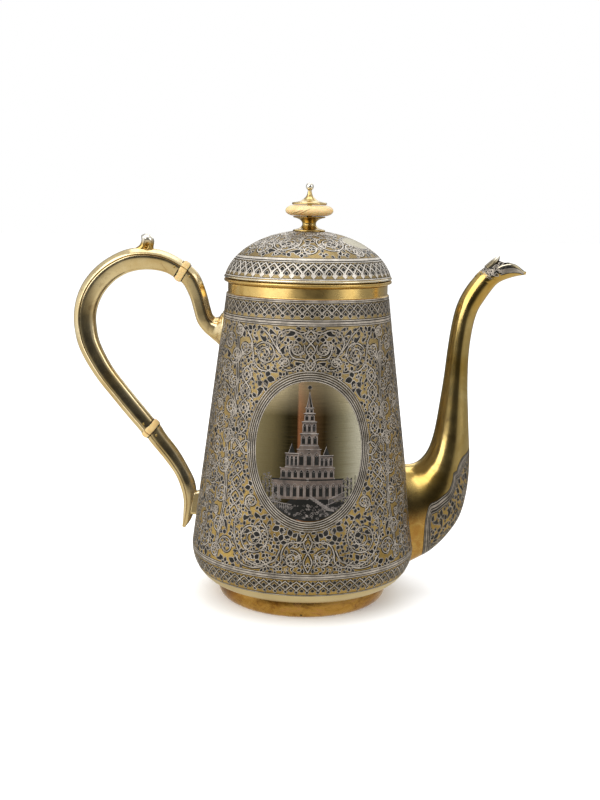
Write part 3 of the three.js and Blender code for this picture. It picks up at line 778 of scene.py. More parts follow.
def add_beak():
    skin = Spout(BEAK)
    # Closer together where the mouth opens.
    stretches = ((0.0, 0.47, 26), (0.475, 0.535, 16), (0.54, 1, 44))
    runs = np.concatenate([np.linspace(*stretch) for stretch in stretches])
    rows, columns = len(runs), 73

    def shell(lift):
        made = []
        for run in runs:
            first = RIM_TURNS[rim_step(skin, run, lift) + 1]
            made.append(skin.point(run, np.linspace(first, 2 * math.pi - first, columns), lift))
        return (np.stack(made) + BEAK_SHIFT).reshape(-1, 3)

    outer, inner = shell(0.0), shell(-0.8)
    faces = grid_faces(rows, columns, False)
    # Painted shade: the beak's inside is near black.
    put("beak_inside", inner, faces, PAINTED_SHADE_INSIDE, "pot", ("spout_beak",))
    under = rows * columns
    for i in range(rows - 1):
        for column, flip in ((0, False), (columns - 1, True)):
            a, b = i * columns + column, (i + 1) * columns + column
            rim = (a, b, b + under, a + under)
            faces.append(rim[::-1] if flip else rim)
    for i in (0, rows - 1):
        for j in range(columns - 1):
            a, b = i * columns + j, i * columns + j + 1
            faces.append((a, b, b + under, a + under))
    points = np.concatenate([outer, inner])
    welded(put("beak", points, faces, MIRROR, "pot", ("spout_beak",)))
    add_crest()
    skin.rim_run = runs
    skin.rim_turn = math.pi - np.array([RIM_TURNS[max(rim_step(skin, run), 0)] for run in runs])
    return skin


def add_crest():
    """The raised point behind the mouth, from rings of (x, z, half width, half depth)."""
    stations = [(89.6, 170.6, 3.4, 1.6), (92.6, 173.2, 3.2, 1.7), (94.6, 175.1, 2.0, 1.5)]
    stations.append((96.0, 176.9, 0.25, 0.3))
    rings = []
    for x, z, width, depth in smooth_run(stations, 24):
        c, s = np.cos(circle(33)), np.sin(circle(33))
        rings.append(np.stack([x + 0.62 * depth * c, width * s, z - 0.7 * depth * c], -1))
    capped("beak_crest", np.array(rings), CREST, "pot", ("spout_beak",), 0.05)


def add_joint(spout, beak):
    """The solder that eases the neck into the beak."""
    turns = circle(SPOUT_SIDES)
    neck = ((0.97, -0.15), (0.978, 0.03), (0.99, 0.08))
    root = ((0.03, 0.1), (0.07, 0.04), (0.09, -0.15))
    rows = [spout.point(run, turns, lift) for run, lift in neck]
    rows += [beak.point(run, turns, lift) + BEAK_SHIFT for run, lift in root]
    faces = grid_faces(len(rows), SPOUT_SIDES, True)
    put("beak_joint", np.concatenate(rows), faces, MIRROR, "pot", ("spout_beak",))


# ---- handle ----
UPPER_BREAK = {"x": -63.3, "z": 166.0, "dir_x": 0.85, "dir_z": -0.53, "side": -1}
LOWER_BREAK = {"x": -79.7, "z": 84.9, "dir_x": 0.75, "dir_z": -0.66, "side": 1}
BREAK_LENGTH = 3.6
BREAK_HALF = 5.3
FACE = BREAK_LENGTH / 2 + 0.05
SEAM_HALF = 4.93
SEAM_STEPS = (-0.1, 0.1, 0.35, 0.5)
PIN_OFFSET = 4.4
PIN_R = 0.6
FLARE_FROM = 5.8
FLARE_OVER = 2.4
SQUARED_RINGS = 5


def on_break(spot, distance, half):
    return (spot["x"] + spot["dir_x"] * distance, spot["z"] + spot["dir_z"] * distance, half)


# Each path has x, z and the section's half size.
GRIP_PATH = [
    on_break(UPPER_BREAK, -FACE, 4.75), (-69.4, 169.5, 4.85), (-74.4, 171.2, 5.2), (-79.5, 171.9, 5.4),
    (-84.5, 171.9, 5.6), (-89.5, 171.1, 5.7), (-94.5, 169.2, 5.6), (-99.8, 166, 5.6), (-103.8, 162.5, 5.7),
    (-107, 158.8, 5.75), (-109.6, 154.6, 5.75), (-111.7, 149.3, 5.7), (-112.8, 143.2, 5.6),
    (-112.6, 136.5, 5.6), (-111.1, 128.9, 5.45), (-107.4, 120.7, 5.2), (-102.4, 112.5, 4.95),
    (-96, 104.3, 4.85), (-89.4, 96.1, 4.85), on_break(LOWER_BREAK, -FACE, 4.75),
]
UPPER_ARM_PATH = [
    on_break(UPPER_BREAK, FACE, 4.7), (-59.4, 162.7, 4.7), (-57.5, 159.6, 4.6), (-55.1, 153.6, 4.35),
    (-53.3, 147, 4.3), (-51.8, 142.4, 4.4), (-49.2, 139.4, 4.8), (-46.4, 138, 6), (-43.9, 137.5, 8.2),
    (-42, 137.4, 9.4), (-39, 137.4, 9.6),
]
LOWER_ARM_PATH = [
    on_break(LOWER_BREAK, FACE, 4.7), (-75.6, 79.6, 4.5), (-69, 71.2, 4.3), (-63.7, 62.8, 3.9),
    (-60.5, 55.4, 4.0), (-59.4, 47.5, 3.4), (-60.6, 38.5, 2.4), (-62.7, 32.4, 0.8),
]


def handle_section():
    """A section, out along the rib and across: a bevelled rib, a crease, a broad cheek, a thin back."""
    rib = [(1.0, 0.0), (0.995, 0.13), (0.975, 0.25), (0.935, 0.35), (0.86, 0.44), (0.7, 0.595)]
    crease = [(0.54, 0.745), (0.5, 0.76), (0.46, 0.73), (0.44, 0.6), (0.41, 0.6), (0.38, 0.69)]
    cheek = [(0.35, 0.77), (0.29, 0.79), (0.05, 0.755), (-0.2, 0.7), (-0.5, 0.615), (-0.64, 0.565)]
    back = [(-0.72, 0.52), (-0.8, 0.46), (-0.89, 0.37), (-0.95, 0.27), (-0.99, 0.14), (-1.0, 0.0)]
    half = rib + crease + cheek + back
    return np.array(half + [(u, -v) for u, v in half[1:-1][::-1]])


def sweep(path, side, count, start_break=None, end_break=None):
    """Rings of the handle's section along a path, square to it, plain ovals where it flares."""
    rows = smooth_run(path, count)
    section = handle_section()
    along = np.gradient(rows[:, :2], axis=0)
    along /= np.linalg.norm(along, axis=1)[:, None]
    for spot, index in ((start_break, 0), (end_break, -1)):
        if spot:
            axis = np.array([spot["dir_x"], spot["dir_z"]])
            axis /= np.linalg.norm(axis)
            axis *= np.sign(axis @ along[index])
            for step in range(SQUARED_RINGS):
                place = step if index == 0 else -1 - step
                blend = 1 - step / SQUARED_RINGS
                mixed = along[place] * (1 - blend) + axis * blend
                along[place] = mixed / np.linalg.norm(mixed)
    out = np.stack([along[:, 1], -along[:, 0]], -1) * side
    half = rows[:, 2, None]
    turn = np.arctan2(section[:, 1], section[:, 0])
    flare = np.clip((half - FLARE_FROM) / FLARE_OVER, 0, 1)
    reach = (section[:, 0] * (1 - flare) + np.cos(turn) * flare) * half
    x = rows[:, 0, None] + out[:, 0, None] * reach
    z = rows[:, 1, None] + out[:, 1, None] * reach
    y = (section[:, 1] * (1 - flare) + 0.8 * np.sin(turn) * flare) * half
    return np.stack([x, y, z], -1)


def capped(name, rings, material, body, nodes, dome):
    """A skinned run of rings with slightly rounded ends."""
    columns = rings.shape[1]
    middle = rings.mean(axis=1, keepdims=True)

    def cap(end, beside, share):
        """An end's ring, shrunk to a share and moved out."""
        step = (middle[end] - middle[beside]) / np.linalg.norm(middle[end] - middle[beside])
        return middle[end] + (rings[end] - middle[end]) * share + step * dome

    head = [cap(0, 1, share) for share in (0.02, 0.93)]
    tail = [cap(-1, -2, share) for share in (0.93, 0.02)]
    rows = np.concatenate([np.stack(head), rings, np.stack(tail)])
    return closed_run(name, rows, material, body, nodes)


def closed_run(name, rows, material, body, nodes):
    """Rings skinned one to the next, with a flat face at each end."""
    count, columns = rows.shape[:2]
    faces = grid_faces(count, columns, True)
    faces.append(tuple(range(columns)))
    faces.append(tuple(range((count - 1) * columns, count * columns))[::-1])
    return welded(put(name, rows, faces, material, body, nodes))


def add_handle():
    grip = sweep(GRIP_PATH, 1, 260, UPPER_BREAK, LOWER_BREAK)
    capped("grip", grip, HANDLE, "pot", ("handle_grip",), 0.05)
    for name, node, path, side, count, spot in (
        ("upper_arm", "upper_handle_arm", UPPER_ARM_PATH, -1, 120, UPPER_BREAK),
        ("lower_arm", "lower_handle_arm", LOWER_ARM_PATH, 1, 130, LOWER_BREAK),
    ):
        rings = sweep(path, side, count, spot)
        trim_inside_body(capped(name, rings, HANDLE, "pot", (node,), 0.05))
    breaks = (("upper", UPPER_BREAK), ("lower", LOWER_BREAK))
    for name, spot in breaks:
        add_heat_break(name, spot)
    for name, spot in breaks:
        add_pin(f"{name}_arm_pin", spot, 1)
        add_pin(f"{name}_grip_pin", spot, -1)


def add_heat_break(name, spot):
    """A swelling bone disc, with a dark seam on each side of it."""
    half = BREAK_LENGTH / 2
    path = []
    for t in arc(-1, 1, 14):
        swell = BREAK_HALF - 0.25 + 0.55 * math.sqrt(max(0, 1 - t * t))
        path.append(on_break(spot, t * half, swell))
    rings = sweep(path, spot["side"], 20, spot, spot)
    node = f"{name}_heat_break"
    capped(f"{name}_break", rings, RING_BONE, "pot", (node,), 0.12)
    for sign, end in ((-1, "grip"), (1, "arm")):
        path = [on_break(spot, sign * (half + gap), SEAM_HALF) for gap in SEAM_STEPS]
        rings = sweep(path, spot["side"], 6, spot, spot)
        capped(f"{name}_break_{end}_seam", rings, NIELLO, "pot", (node,), 0.02)


def add_pin(name, spot, sign):
    """A pin right through the handle, with two domed heads."""
    x, z, _ = on_break(spot, sign * PIN_OFFSET, 0)
    half = PIN_HALF + 0.05
    head = [(0.05, half + 0.16), (PIN_R * 0.7, half + 0.1), (PIN_R, half - 0.1)]
    profile = [(radius, -y) for radius, y in head] + head[::-1]
    points = []
    for radius, y in profile:
        points += [(x + radius * math.cos(turn), y, z + radius * math.sin(turn)) for turn in circle(24)]
    faces = grid_faces(len(profile), 24, True)
    faces.append(tuple(range(24)))
    put(f"{name}_head", points, faces, FINIAL, "pot", (name,))


# Height, left and right edge, half the depth, and how deep the front is hollowed.
THUMB_REST = [
    (175.4, -90.2, -77.0, 2.2, 0.2), (176.4, -88.9, -77.5, 2.4, 0.45), (177.4, -86.9, -77.85, 2.5, 0.6),
    (178.4, -85.3, -77.8, 2.6, 0.62), (179.4, -84.5, -77.6, 2.8, 0.45), (180.4, -84.1, -77.5, 3.0, 0.12),
    (181.6, -83.9, -77.6, 3.2, 0), (182.6, -84.05, -78.1, 3.1, 0), (183.3, -84.1, -78.7, 2.7, 0),
    (183.9, -83.4, -79.3, 2.0, 0), (184.3, -82.4, -80.4, 1.1, 0),
]


def add_thumb_rest():
    """A curled leaf: a tongue that rises off the grip and rolls over, hollow under its curl."""
    groove_half = 0.85
    rings = []
    for z, left, right, depth, hollow in smooth_run(THUMB_REST, 64):
        groove = np.interp(z, [175.6, 178, 179.5], [-82.6, -81.3, -80.6])
        ring = []
        for turn in circle(64):
            x = (left + right) / 2 + (right - left) / 2 * math.cos(turn)
            dent = 1 - max(0, hollow) * math.exp(-(((x - groove) / groove_half) ** 2))
            ring.append((x, depth * math.sin(turn) * dent, z))
        rings.append(ring)
    capped("thumb_leaf", np.array(rings), THUMB, "pot", ("thumb_rest",), 0.1)


def add_pad():
    """The block that stands the lower arm off the body."""
    outline = eased([(-57.4, 51.6), (-53, 52.6), (-53, 39.3), (-59.2, 39.9)], 0.8)
    middle_x, middle_z = -56, 46
    rows = []
    for y, shrink in ((-2.1, 0.82), (-1.9, 0.95), (-1.5, 1.0), (1.5, 1.0), (1.9, 0.95), (2.1, 0.82)):
        ring = [(middle_x + (x - middle_x) * shrink, middle_z + (z - middle_z) * shrink) for x, z in outline]
        rows.append([(x, y, z) for x, z in ring])
    closed_run("handle_pad", np.array(rows), HANDLE, "pot", ("lower_handle_pad",))


# ---- ornament ----
class Skin:
    """A turned surface that ornament lies on, by the turn about its axis and the run up its side."""

    def __init__(self, rows):
        rows = np.array(rows, float)
        self.radius, self.height = rows.T
        steps = np.hypot(np.diff(self.radius), np.diff(self.height))
        self.run = np.concatenate([[0], np.cumsum(steps)])
        slope = np.gradient(rows, self.run, axis=0)
        slope /= np.linalg.norm(slope, axis=1)[:, None]
        self.out = np.stack([slope[:, 1], -slope[:, 0]], -1)

    def run_at(self, height):
        return np.interp(height, self.height, self.run)

    def radius_at(self, run):
        return np.interp(run, self.run, self.radius)

    def point(self, turn, run, lift):
        radius = self.radius_at(run) + lift * np.interp(run, self.run, self.out[:, 0])
        height = np.interp(run, self.run, self.height) + lift * np.interp(run, self.run, self.out[:, 1])
        return np.stack([radius * np.sin(turn), -radius * np.cos(turn), height], -1)


class SpoutSkin:
    """The spout by the turn about it from its outer edge and the run along it in millimetres."""

    def __init__(self, spout, outer=0.5):
        """The run is measured on a line between the edges, outer of the way to the outer one."""
        self.spout = spout
        rows = spout.rows
        middle = rows[:, 0:2] * (1 - outer) + rows[:, 2:4] * outer
        steps = np.linalg.norm(np.diff(middle, axis=0), axis=1)
        self.run = np.concatenate([[0], np.cumsum(steps)])
        reach = np.linalg.norm(rows[:, 0:2] - rows[:, 2:4], axis=1) / 2
        self.mean = (reach + rows[:, 4]) / 2

    def radius_at(self, run):
        return np.interp(run, self.run, self.mean)

    def point(self, turn, run, lift):
        share = np.interp(run, self.run, np.linspace(0, 1, len(self.run)))
        return self.spout.point(share, math.pi - np.asarray(turn), lift)


class Spot:
    """A place on a skin where a motif's flat millimetres are laid, right and up from its middle."""

    def __init__(self, skin, turn, run, hand=1):
        self.skin, self.turn, self.run, self.hand = skin, turn, run, hand

    def lay(self, points):
        points = np.asarray(points, float)
        run = self.run + points[:, 1]
        return np.stack([self.turn + self.hand * points[:, 0] / self.skin.radius_at(run), run], -1)

    def at(self, x, y):
        """Another spot, moved by flat millimetres."""
        turn, run = self.lay([(x, y)])[0]
        return Spot(self.skin, turn, run, self.hand)


SILVER_LOW, SILVER_HIGH = 0.06, 0.12
DARK_LIFT = 0.035
LEAF_LIFT = 0.06
STEM_WIDE = 0.54
STEM_DARK = 1.6
METALS = ("silver", "niello", "wall")


# Widths along a leaf, as parts of its greatest: an almond, and a trumpet that flares to two points.
ALMOND_T = (0.0, 0.12, 0.28, 0.46, 0.64, 0.82, 1.0)
ALMOND_WIDTH = (0.1, 0.55, 0.9, 1.0, 0.85, 0.5, 0.06)
FLARE_T = (0.0, 0.25, 0.5, 0.7, 0.84, 0.92, 1.0)
FLARE_WIDTH = (0.12, 0.3, 0.5, 0.82, 1.15, 0.62, 0.1)


def beyond(base, aim, reach):
    """The flat point at a reach from a base, towards an aim."""
    return (base[0] + reach * math.cos(aim), base[1] + reach * math.sin(aim))


class Tracery:
    """Bright ribbons, dark fills and grey walls, each kind gathered into one piece."""

    def __init__(self):
        self.points = {metal: [] for metal in METALS}
        self.faces = {metal: [] for metal in METALS}
        self.counts = dict.fromkeys(METALS, 0)
        self.marks = []

    def rows(self, metal, rows, closed):
        """Adds a strip whose rows run across it."""
        count, columns = rows.shape[:2]
        start = self.counts[metal]
        last = count if closed else count - 1
        i = np.arange(last)[:, None]
        j = np.arange(columns - 1)[None, :]
        a = start + i * columns + j
        b = start + ((i + 1) % count) * columns + j
        self.faces[metal].append(np.stack([a, b, b + 1, a + 1], -1).reshape(-1, 4))
        self.points[metal].append(rows.reshape(-1, 3))
        self.counts[metal] += count * columns

    def ribbon(self, metal, skin, path, width, low, high=None, closed=False):
        """A strip along a path of (turn, run); high is the lift of its middle, if it has a crown."""
        turn, run = np.asarray(path, float).T
        radius = skin.radius_at(run)
        if closed:
            step_turn = (np.roll(turn, -1) - np.roll(turn, 1) + math.pi) % (2 * math.pi) - math.pi
            step_run = np.roll(run, -1) - np.roll(run, 1)
        else:
            step_turn, step_run = np.gradient(turn), np.gradient(run)
        step = np.stack([step_turn * radius, step_run], -1)
        step /= np.maximum(np.linalg.norm(step, axis=1), 1e-9)[:, None]
        half = np.broadcast_to(np.asarray(width, float) / 2, turn.shape)
        self.marks.append(np.stack([turn, run], -1))
        across_turn, across_run = -step[:, 1] * half / radius, step[:, 0] * half
        rows = [skin.point(turn + across_turn, run + across_run, low)]
        if high is not None:
            rows.append(skin.point(turn, run, high))
        rows.append(skin.point(turn - across_turn, run - across_run, low))
        self.rows(metal, np.stack(rows, 1), closed)

    def stem(self, spot, points, width=STEM_WIDE, closed=False, dark=STEM_DARK):
        """A bright stem between dark cuts."""
        path = spot.lay(points)
        self.ribbon("niello", spot.skin, path, dark, DARK_LIFT, None, closed)
        self.ribbon("silver", spot.skin, path, width, SILVER_LOW, SILVER_HIGH, closed)

    def leaf(self, spot, base, tip, bend, width, edge, flare=False):
        """A niello leaf inside a bright edge. Bend and width are parts of its length."""
        base, tip = np.array(base, float), np.array(tip, float)
        along = tip - base
        size = np.linalg.norm(along)
        side = np.array([-along[1], along[0]])
        t = np.array(FLARE_T if flare else ALMOND_T)[:, None]
        middle = base + along * t + side * bend * 2 * t * (1 - t)
        shape = np.array(FLARE_WIDTH if flare else ALMOND_WIDTH)
        swell = shape * width * size
        self.ribbon("niello", spot.skin, spot.lay(middle), swell + 0.64, DARK_LIFT)
        self.ribbon("niello", spot.skin, spot.lay(middle), swell + 0.1, LEAF_LIFT)
        tangent = np.gradient(middle, axis=0)
        tangent /= np.linalg.norm(tangent, axis=1)[:, None]
        normal = np.stack([-tangent[:, 1], tangent[:, 0]], -1)
        left = middle + normal * (swell[:, None] / 2 + edge * 0.3)
        right = middle - normal * (swell[:, None] / 2 + edge * 0.3)
        outline = np.concatenate([left, right[::-1][1:-1]])
        self.ribbon("silver", spot.skin, spot.lay(outline), edge, SILVER_LOW, 0.1, True)

    def trefoil(self, spot, base, angle, size):
        """Three leaves from one point."""
        for turn, share in ((-1.15, 0.85), (0, 1.0), (1.15, 0.85)):
            start = beyond(base, angle + turn, 0.12 * size)
            tip = beyond(base, angle + turn, share * size)
            self.leaf(spot, start, tip, 0.12 * turn, 0.68, 0.32)

    def hook(self, spot, base, angle, size, bend):
        """A half palmette: a long leaf that curls over, with a short one at its root."""
        self.leaf(spot, base, beyond(base, angle, size), bend, 0.68, 0.34, True)
        short = beyond(base, angle - math.copysign(1.1, bend), 0.55 * size)
        self.leaf(spot, base, short, -bend * 0.5, 0.72, 0.3)

    def ring(self, spot, x, y, radius):
        turns = circle(12)
        path = np.stack([x + radius * np.cos(turns), y + radius * np.sin(turns)], -1)
        self.ribbon("silver", spot.skin, spot.lay(path), 0.26, SILVER_LOW, 0.12, True)

    def scroll(self, spot, radius, start, turns, leaves, inner=0.3):
        """A stem that winds in to a trefoil, with leaves off its coil on both sides."""
        count = max(18, int(radius * turns * 7))
        t = np.linspace(0, 1, count)
        angle = start + 2 * math.pi * turns * t
        reach = radius * (1 - (1 - inner) * t**0.85)
        coil = np.stack([reach * np.cos(angle), reach * np.sin(angle)], -1)
        self.stem(spot, coil)
        way = coil[-1] - coil[-3]
        self.trefoil(spot, coil[-1], math.atan2(way[1], way[0]), max(1.8, radius * 0.5))
        for k in range(leaves):
            place = int(count * (0.12 + 0.62 * k / max(1, leaves - 1)))
            root = coil[place]
            way = coil[min(place + 2, count - 1)] - coil[place - 2]
            aim = math.atan2(way[1], way[0])
            inward = k % 2 == 0
            lean = aim + (0.75 if inward else -0.8)
            size = max(2.3, radius * (0.52 if inward else 0.44)) * (1 - 0.25 * t[place])
            self.hook(spot, root, lean, size, 0.4 if inward else -0.4)

    def line(self, skin, run, width, dark, count=320):
        """A bright ring right round a skin."""
        turns = np.arange(count) * 2 * math.pi / count
        path = np.stack([turns, run + 0 * turns], -1)
        self.ribbon("niello", skin, path, dark, DARK_LIFT, None, True)
        self.ribbon("silver", skin, path, width, SILVER_LOW, SILVER_HIGH, True)

    def finish(self, name, body, slot, node, **other):
        """Makes the pieces that hold something."""
        looks = {"silver": SILVER, "niello": NIELLO, "wall": STONE} | other
        for metal, material in looks.items():
            if not self.faces[metal]:
                continue
            points = np.concatenate(self.points[metal])
            faces = np.concatenate(self.faces[metal]).tolist()
            put(f"{name}_{metal}", points, faces, material, body, (node,))


def curve(points, step=0.7):
    """A smooth flat path through a few points."""
    rows = np.array(points, float)
    length = np.linalg.norm(np.diff(rows, axis=0), axis=1).sum()
    return smooth_run(rows, max(4, int(length / step)))


BODY_SKIN = Skin(side_outline(24, 40))
LID_SKIN = Skin([(lid_r(z), z) for z in dome_heights(LID_EDGE_Z, DOME_HIGH[2], 60)])

FIELD_LOW_Z, FIELD_HIGH_Z = 27.6, 143.8
MEDAL_Z = 85.4
MEDAL_ACROSS, MEDAL_UP = 26.4, 33.3
FRAME_ACROSS, FRAME_UP = 31.4, 37.6
COLUMN_TURN = math.radians(41)
BORDER_TURN = math.radians(50)


def interlaced_frieze(tracery, skin, low, high, repeats, diamond, arch_width, heart="niello"):
    """Pointed arches that cross their neighbours over a row of diamonds."""
    tall = high - low
    for k in range(repeats):
        turn = 2 * math.pi * (k + 0.5) / repeats
        spot = Spot(skin, turn, low)
        pitch = 2 * math.pi * skin.radius_at(low + tall / 2) / repeats
        rise = [(-pitch, 0.3), (-pitch * 0.8, 0.46), (-pitch * 0.42, 0.7), (0, 0.93)]
        left = curve([(x, y * tall) for x, y in rise], 1.0)
        right = left[::-1] * np.array([-1, 1])
        for side in (left, right):
            tracery.stem(spot, side, arch_width, dark=arch_width + 1.0)
        middle = 0.2 * tall
        wide = np.array([0.05, 2 * diamond, 0.05])
        flat = spot.lay([(-diamond * 0.95, middle), (0, middle), (diamond * 0.95, middle)])
        tracery.ribbon("niello", skin, flat, wide + np.array([0.7, 1.3, 0.7]), DARK_LIFT)
        tracery.ribbon(heart, skin, flat, wide, SILVER_LOW)
        corners = [(0, diamond), (diamond * 0.9, 0), (0, -diamond), (-diamond * 0.9, 0), (0, diamond)]
        edge = [(x, y + middle) for x, y in corners]
        for start, end in zip(edge, edge[1:]):
            tracery.ribbon("silver", skin, spot.lay([start, end]), 0.34, SILVER_HIGH)
        for x, y, size in ((pitch / 2, 0.85, 0.15), (0, 0.61, 0.17), (pitch / 2, 0.34, 0.15)):
            tracery.leaf(spot, (x, (y - size) * tall), (x, (y + size * 0.7) * tall), 0, 0.85, 0.2)


def strap_cross(tracery, spot, low, high, half, count):
    """Two straps that cross again and again up an axis, with a leaf in each lozenge."""
    t = np.linspace(0, count, count * 10 + 1)
    wave = half * (1 - np.abs(2 * (t % 1) - 1) ** 1.5)
    sign = np.where((t.astype(int) % 2) == 0, 1, -1)
    y = low + (high - low) * t / count
    for hand in (1, -1):
        tracery.stem(spot, np.stack([hand * sign * wave, y], -1))
    pitch = (high - low) / count
    for k in range(count):
        middle = low + pitch * (k + 0.5)
        tracery.trefoil(spot, (0, middle - pitch * 0.2), math.pi / 2, min(pitch * 0.42, half * 0.95))


def knot(tracery, spot, size):
    """Four looped petals round a crossing."""
    t = np.linspace(-1, 1, 15)
    reach = size * np.sqrt(np.maximum(0, 1 - t * t)) * 0.62
    along = size * (0.55 + 0.52 * np.cos(math.pi * t))
    across = -reach * np.sign(t) * np.abs(np.sin(math.pi * t)) ** 0.5
    for k in range(4):
        aim = k * math.pi / 2
        c, s = math.cos(aim), math.sin(aim)
        tracery.stem(spot, np.stack([along * c - across * s, along * s + across * c], -1))
        tracery.ring(spot, 0.62 * size * c, 0.62 * size * s, 0.16 * size)


def side_column(tracery, hand, turn, base_run):
    """The upright strapwork beside the medallion."""
    spot = Spot(BODY_SKIN, turn + hand * COLUMN_TURN, base_run, hand)
    top = FIELD_HIGH_Z - MEDAL_Z
    low = MEDAL_Z - FIELD_LOW_Z
    strap_cross(tracery, spot, 6.4, 38.8, 3.1, 4)
    strap_cross(tracery, spot, -35.5, -6.4, 3.1, 4)
    knot(tracery, spot, 5.6)
    for sign in (1, -1):
        for k in range(4):
            y = sign * (11.5 + 8.2 * k)
            for side in (-1, 1):
                if side == -1 and abs(y) < 14:
                    continue
                tracery.hook(spot, (side * 1.4, y - 1.5), math.pi / 2 - side * 0.7, 3.2, 0.4 * side)
                tracery.hook(spot, (side * 5.0, y + 3.2), math.pi / 2 + side * 0.9, 3.0, -0.4 * side)
    border = Spot(BODY_SKIN, turn + hand * BORDER_TURN, base_run, hand)
    up = np.linspace(-low + 6, top - 6, 110)
    sway = 1.4 * np.cos(np.linspace(0, 4 * math.pi, 110))
    for shift in (-0.6, 0.6):
        tracery.stem(border, np.stack([sway + shift, up], -1), 0.5)


def draw(tracery, spot, stems, leaves, rings, ring_r):
    """Lays stems, leaves of (x, y, aim, size, bend) and rings in a spot's flat millimetres."""
    for points in stems:
        tracery.stem(spot, curve(points))
    for x, y, aim, size, bend in leaves:
        tracery.hook(spot, (x, y), aim, size, bend)
    for x, y in rings:
        tracery.ring(spot, x, y, ring_r)


UPPER_STEMS = [
    [(1.0, 56.8), (4.2, 55.6), (9.5, 57.2), (14.6, 55.4), (16.3, 50.5), (14.2, 46.4), (12.6, 44.4)],
    [(33.0, 55.8), (30.2, 51.5), (29.2, 46.0), (28.4, 41.0), (25.0, 37.8), (20.8, 37.2)],
    [(24.8, 58.0), (20.6, 54.6), (17.4, 50.0), (14.6, 46.4)],
    [(0.4, 41.6), (3.4, 43.6), (7.0, 43.8), (9.4, 45.6), (10.4, 49.4)],
    [(2.0, 37.9), (5.4, 40.2), (9.4, 38.4), (12.6, 38.6)],
]
UPPER_LEAVES = [
    (12.6, 55.0, 2.7, 5.2, 0.4), (12.4, 54.6, -0.5, 3.4, -0.4), (11.4, 49.8, -1.1, 5.0, 0.35),
    (16.6, 54.2, 0.4, 4.2, 0.3), (2.4, 53.6, 1.2, 3.6, -0.4), (3.4, 41.4, -0.2, 3.6, 0.4),
    (20.6, 37.8, 2.9, 4.6, 0.3), (24.2, 36.6, -0.9, 4.0, -0.4), (25.2, 34.8, -1.9, 4.6, 0.4),
    (29.0, 54.0, -2.6, 3.4, 0.4), (17.0, 41.4, -1.2, 3.4, -0.3), (29.6, 40.2, -1.2, 4.0, 0.3),
]
UPPER_RINGS = [(10.2, 46.6), (16.9, 46.2), (15.2, 51.8), (4.6, 45.0), (27.2, 53.6)]

LOWER_STEMS = [
    [
        (0.6, -41.2), (3.2, -43.2), (7.6, -43.0), (11.0, -45.0), (12.6, -48.6), (13.2, -53.0), (17.6, -55.6),
        (22.8, -53.0),
    ],
    [
        (34.8, -30.0), (37.6, -36.0), (38.0, -43.0), (35.6, -49.8), (30.6, -54.0), (23.8, -55.6),
        (16.4, -52.4), (13.4, -47.2),
    ],
    [(38.0, -52.0), (33.6, -56.0), (27.4, -57.0), (22.0, -56.0)],
]
LOWER_LEAVES = [
    (17.8, -48.6, 0.9, 4.0, -0.4), (18.6, -53.4, 2.2, 4.2, 0.4), (12.4, -55.4, 0.5, 3.6, 0.4),
    (3.4, -55.6, 0.6, 3.4, 0.4), (22.4, -33.6, 0.3, 4.4, 0.4), (28.6, -32.0, -0.3, 4.6, -0.4),
    (19.8, -36.4, 2.4, 3.2, -0.4), (36.8, -46.6, -2.4, 3.4, 0.3), (31.0, -55.4, 1.5, 3.0, -0.3),
    (6.6, -43.4, -0.4, 3.2, -0.4), (36.0, -34.0, -1.9, 3.4, 0.4), (25.8, -54.6, -0.4, 3.6, 0.4),
]
LOWER_RINGS = [(21.0, -46.0), (18.6, -38.6), (34.6, -51.6), (10.6, -56.4), (3.6, -46.6)]


def upper_field(tracery, hand, turn, base_run):
    """Scrolls and leaves between the medallion and the upper lines, on one side of its axis."""
    spot = Spot(BODY_SKIN, turn, base_run, hand)
    tracery.scroll(spot.at(6.3, 48.6), 3.7, 2.6, 1.4, 3)
    tracery.scroll(spot.at(22.3, 45.4), 6.1, 0.4, 1.6, 5)
    tracery.scroll(spot.at(12.1, 41.7), 2.9, 0.0, 1.25, 2)
    draw(tracery, spot, UPPER_STEMS, UPPER_LEAVES, UPPER_RINGS, 0.42)
    if hand > 0:
        strap_cross(tracery, spot, 38.6, 57.4, 2.2, 3)


def lower_field(tracery, hand, turn, base_run):
    """Scrolls, trefoils and leaves below the medallion, on one side of its axis."""
    spot = Spot(BODY_SKIN, turn, base_run, hand)
    tracery.scroll(spot.at(27.6, -42.4), 9.0, 2.2, 1.9, 6, 0.22)
    tracery.scroll(spot.at(7.4, -51.3), 4.6, 1.3, 1.6, 4)
    tracery.trefoil(spot, (13.6, -43.4), 1.9, 4.4)
    draw(tracery, spot, LOWER_STEMS, LOWER_LEAVES, LOWER_RINGS, 0.55)
    if hand > 0:
        strap_cross(tracery, spot, -57.4, -38.8, 2.0, 2)


def side_panel(tracery, turn, base_run):
    """Mirrored scrolls up the side of the body, from the front's border to the back's."""
    up = (-49.5, -33.5, -18.4, -4.0, 9.8, 23.2, 36.0, 48.4)
    radii = (7.6, 7.2, 6.9, 6.6, 6.3, 6.1, 5.8, 5.6)
    for hand in (-1, 1):
        spot = Spot(BODY_SKIN, turn, base_run, hand)
        for k, (y, radius) in enumerate(zip(up, radii)):
            tracery.scroll(spot.at(10.6, y), radius, 2.4 if k % 2 else -0.6, 1.6, 5)
            tracery.scroll(spot.at(24.6 - 0.05 * y, y + 1.0), radius * 0.82, 0.4 if k % 2 else 2.6, 1.5, 4)
            tracery.hook(spot, (2.6, y + radius), 0.9, 3.4, 0.4)
            tracery.hook(spot, (17.4, y + radius * 1.05), 2.4, 3.4, -0.4)
    axis = Spot(BODY_SKIN, turn, base_run)
    strap_cross(tracery, axis, -56.6, 57.0, 2.2, 12)


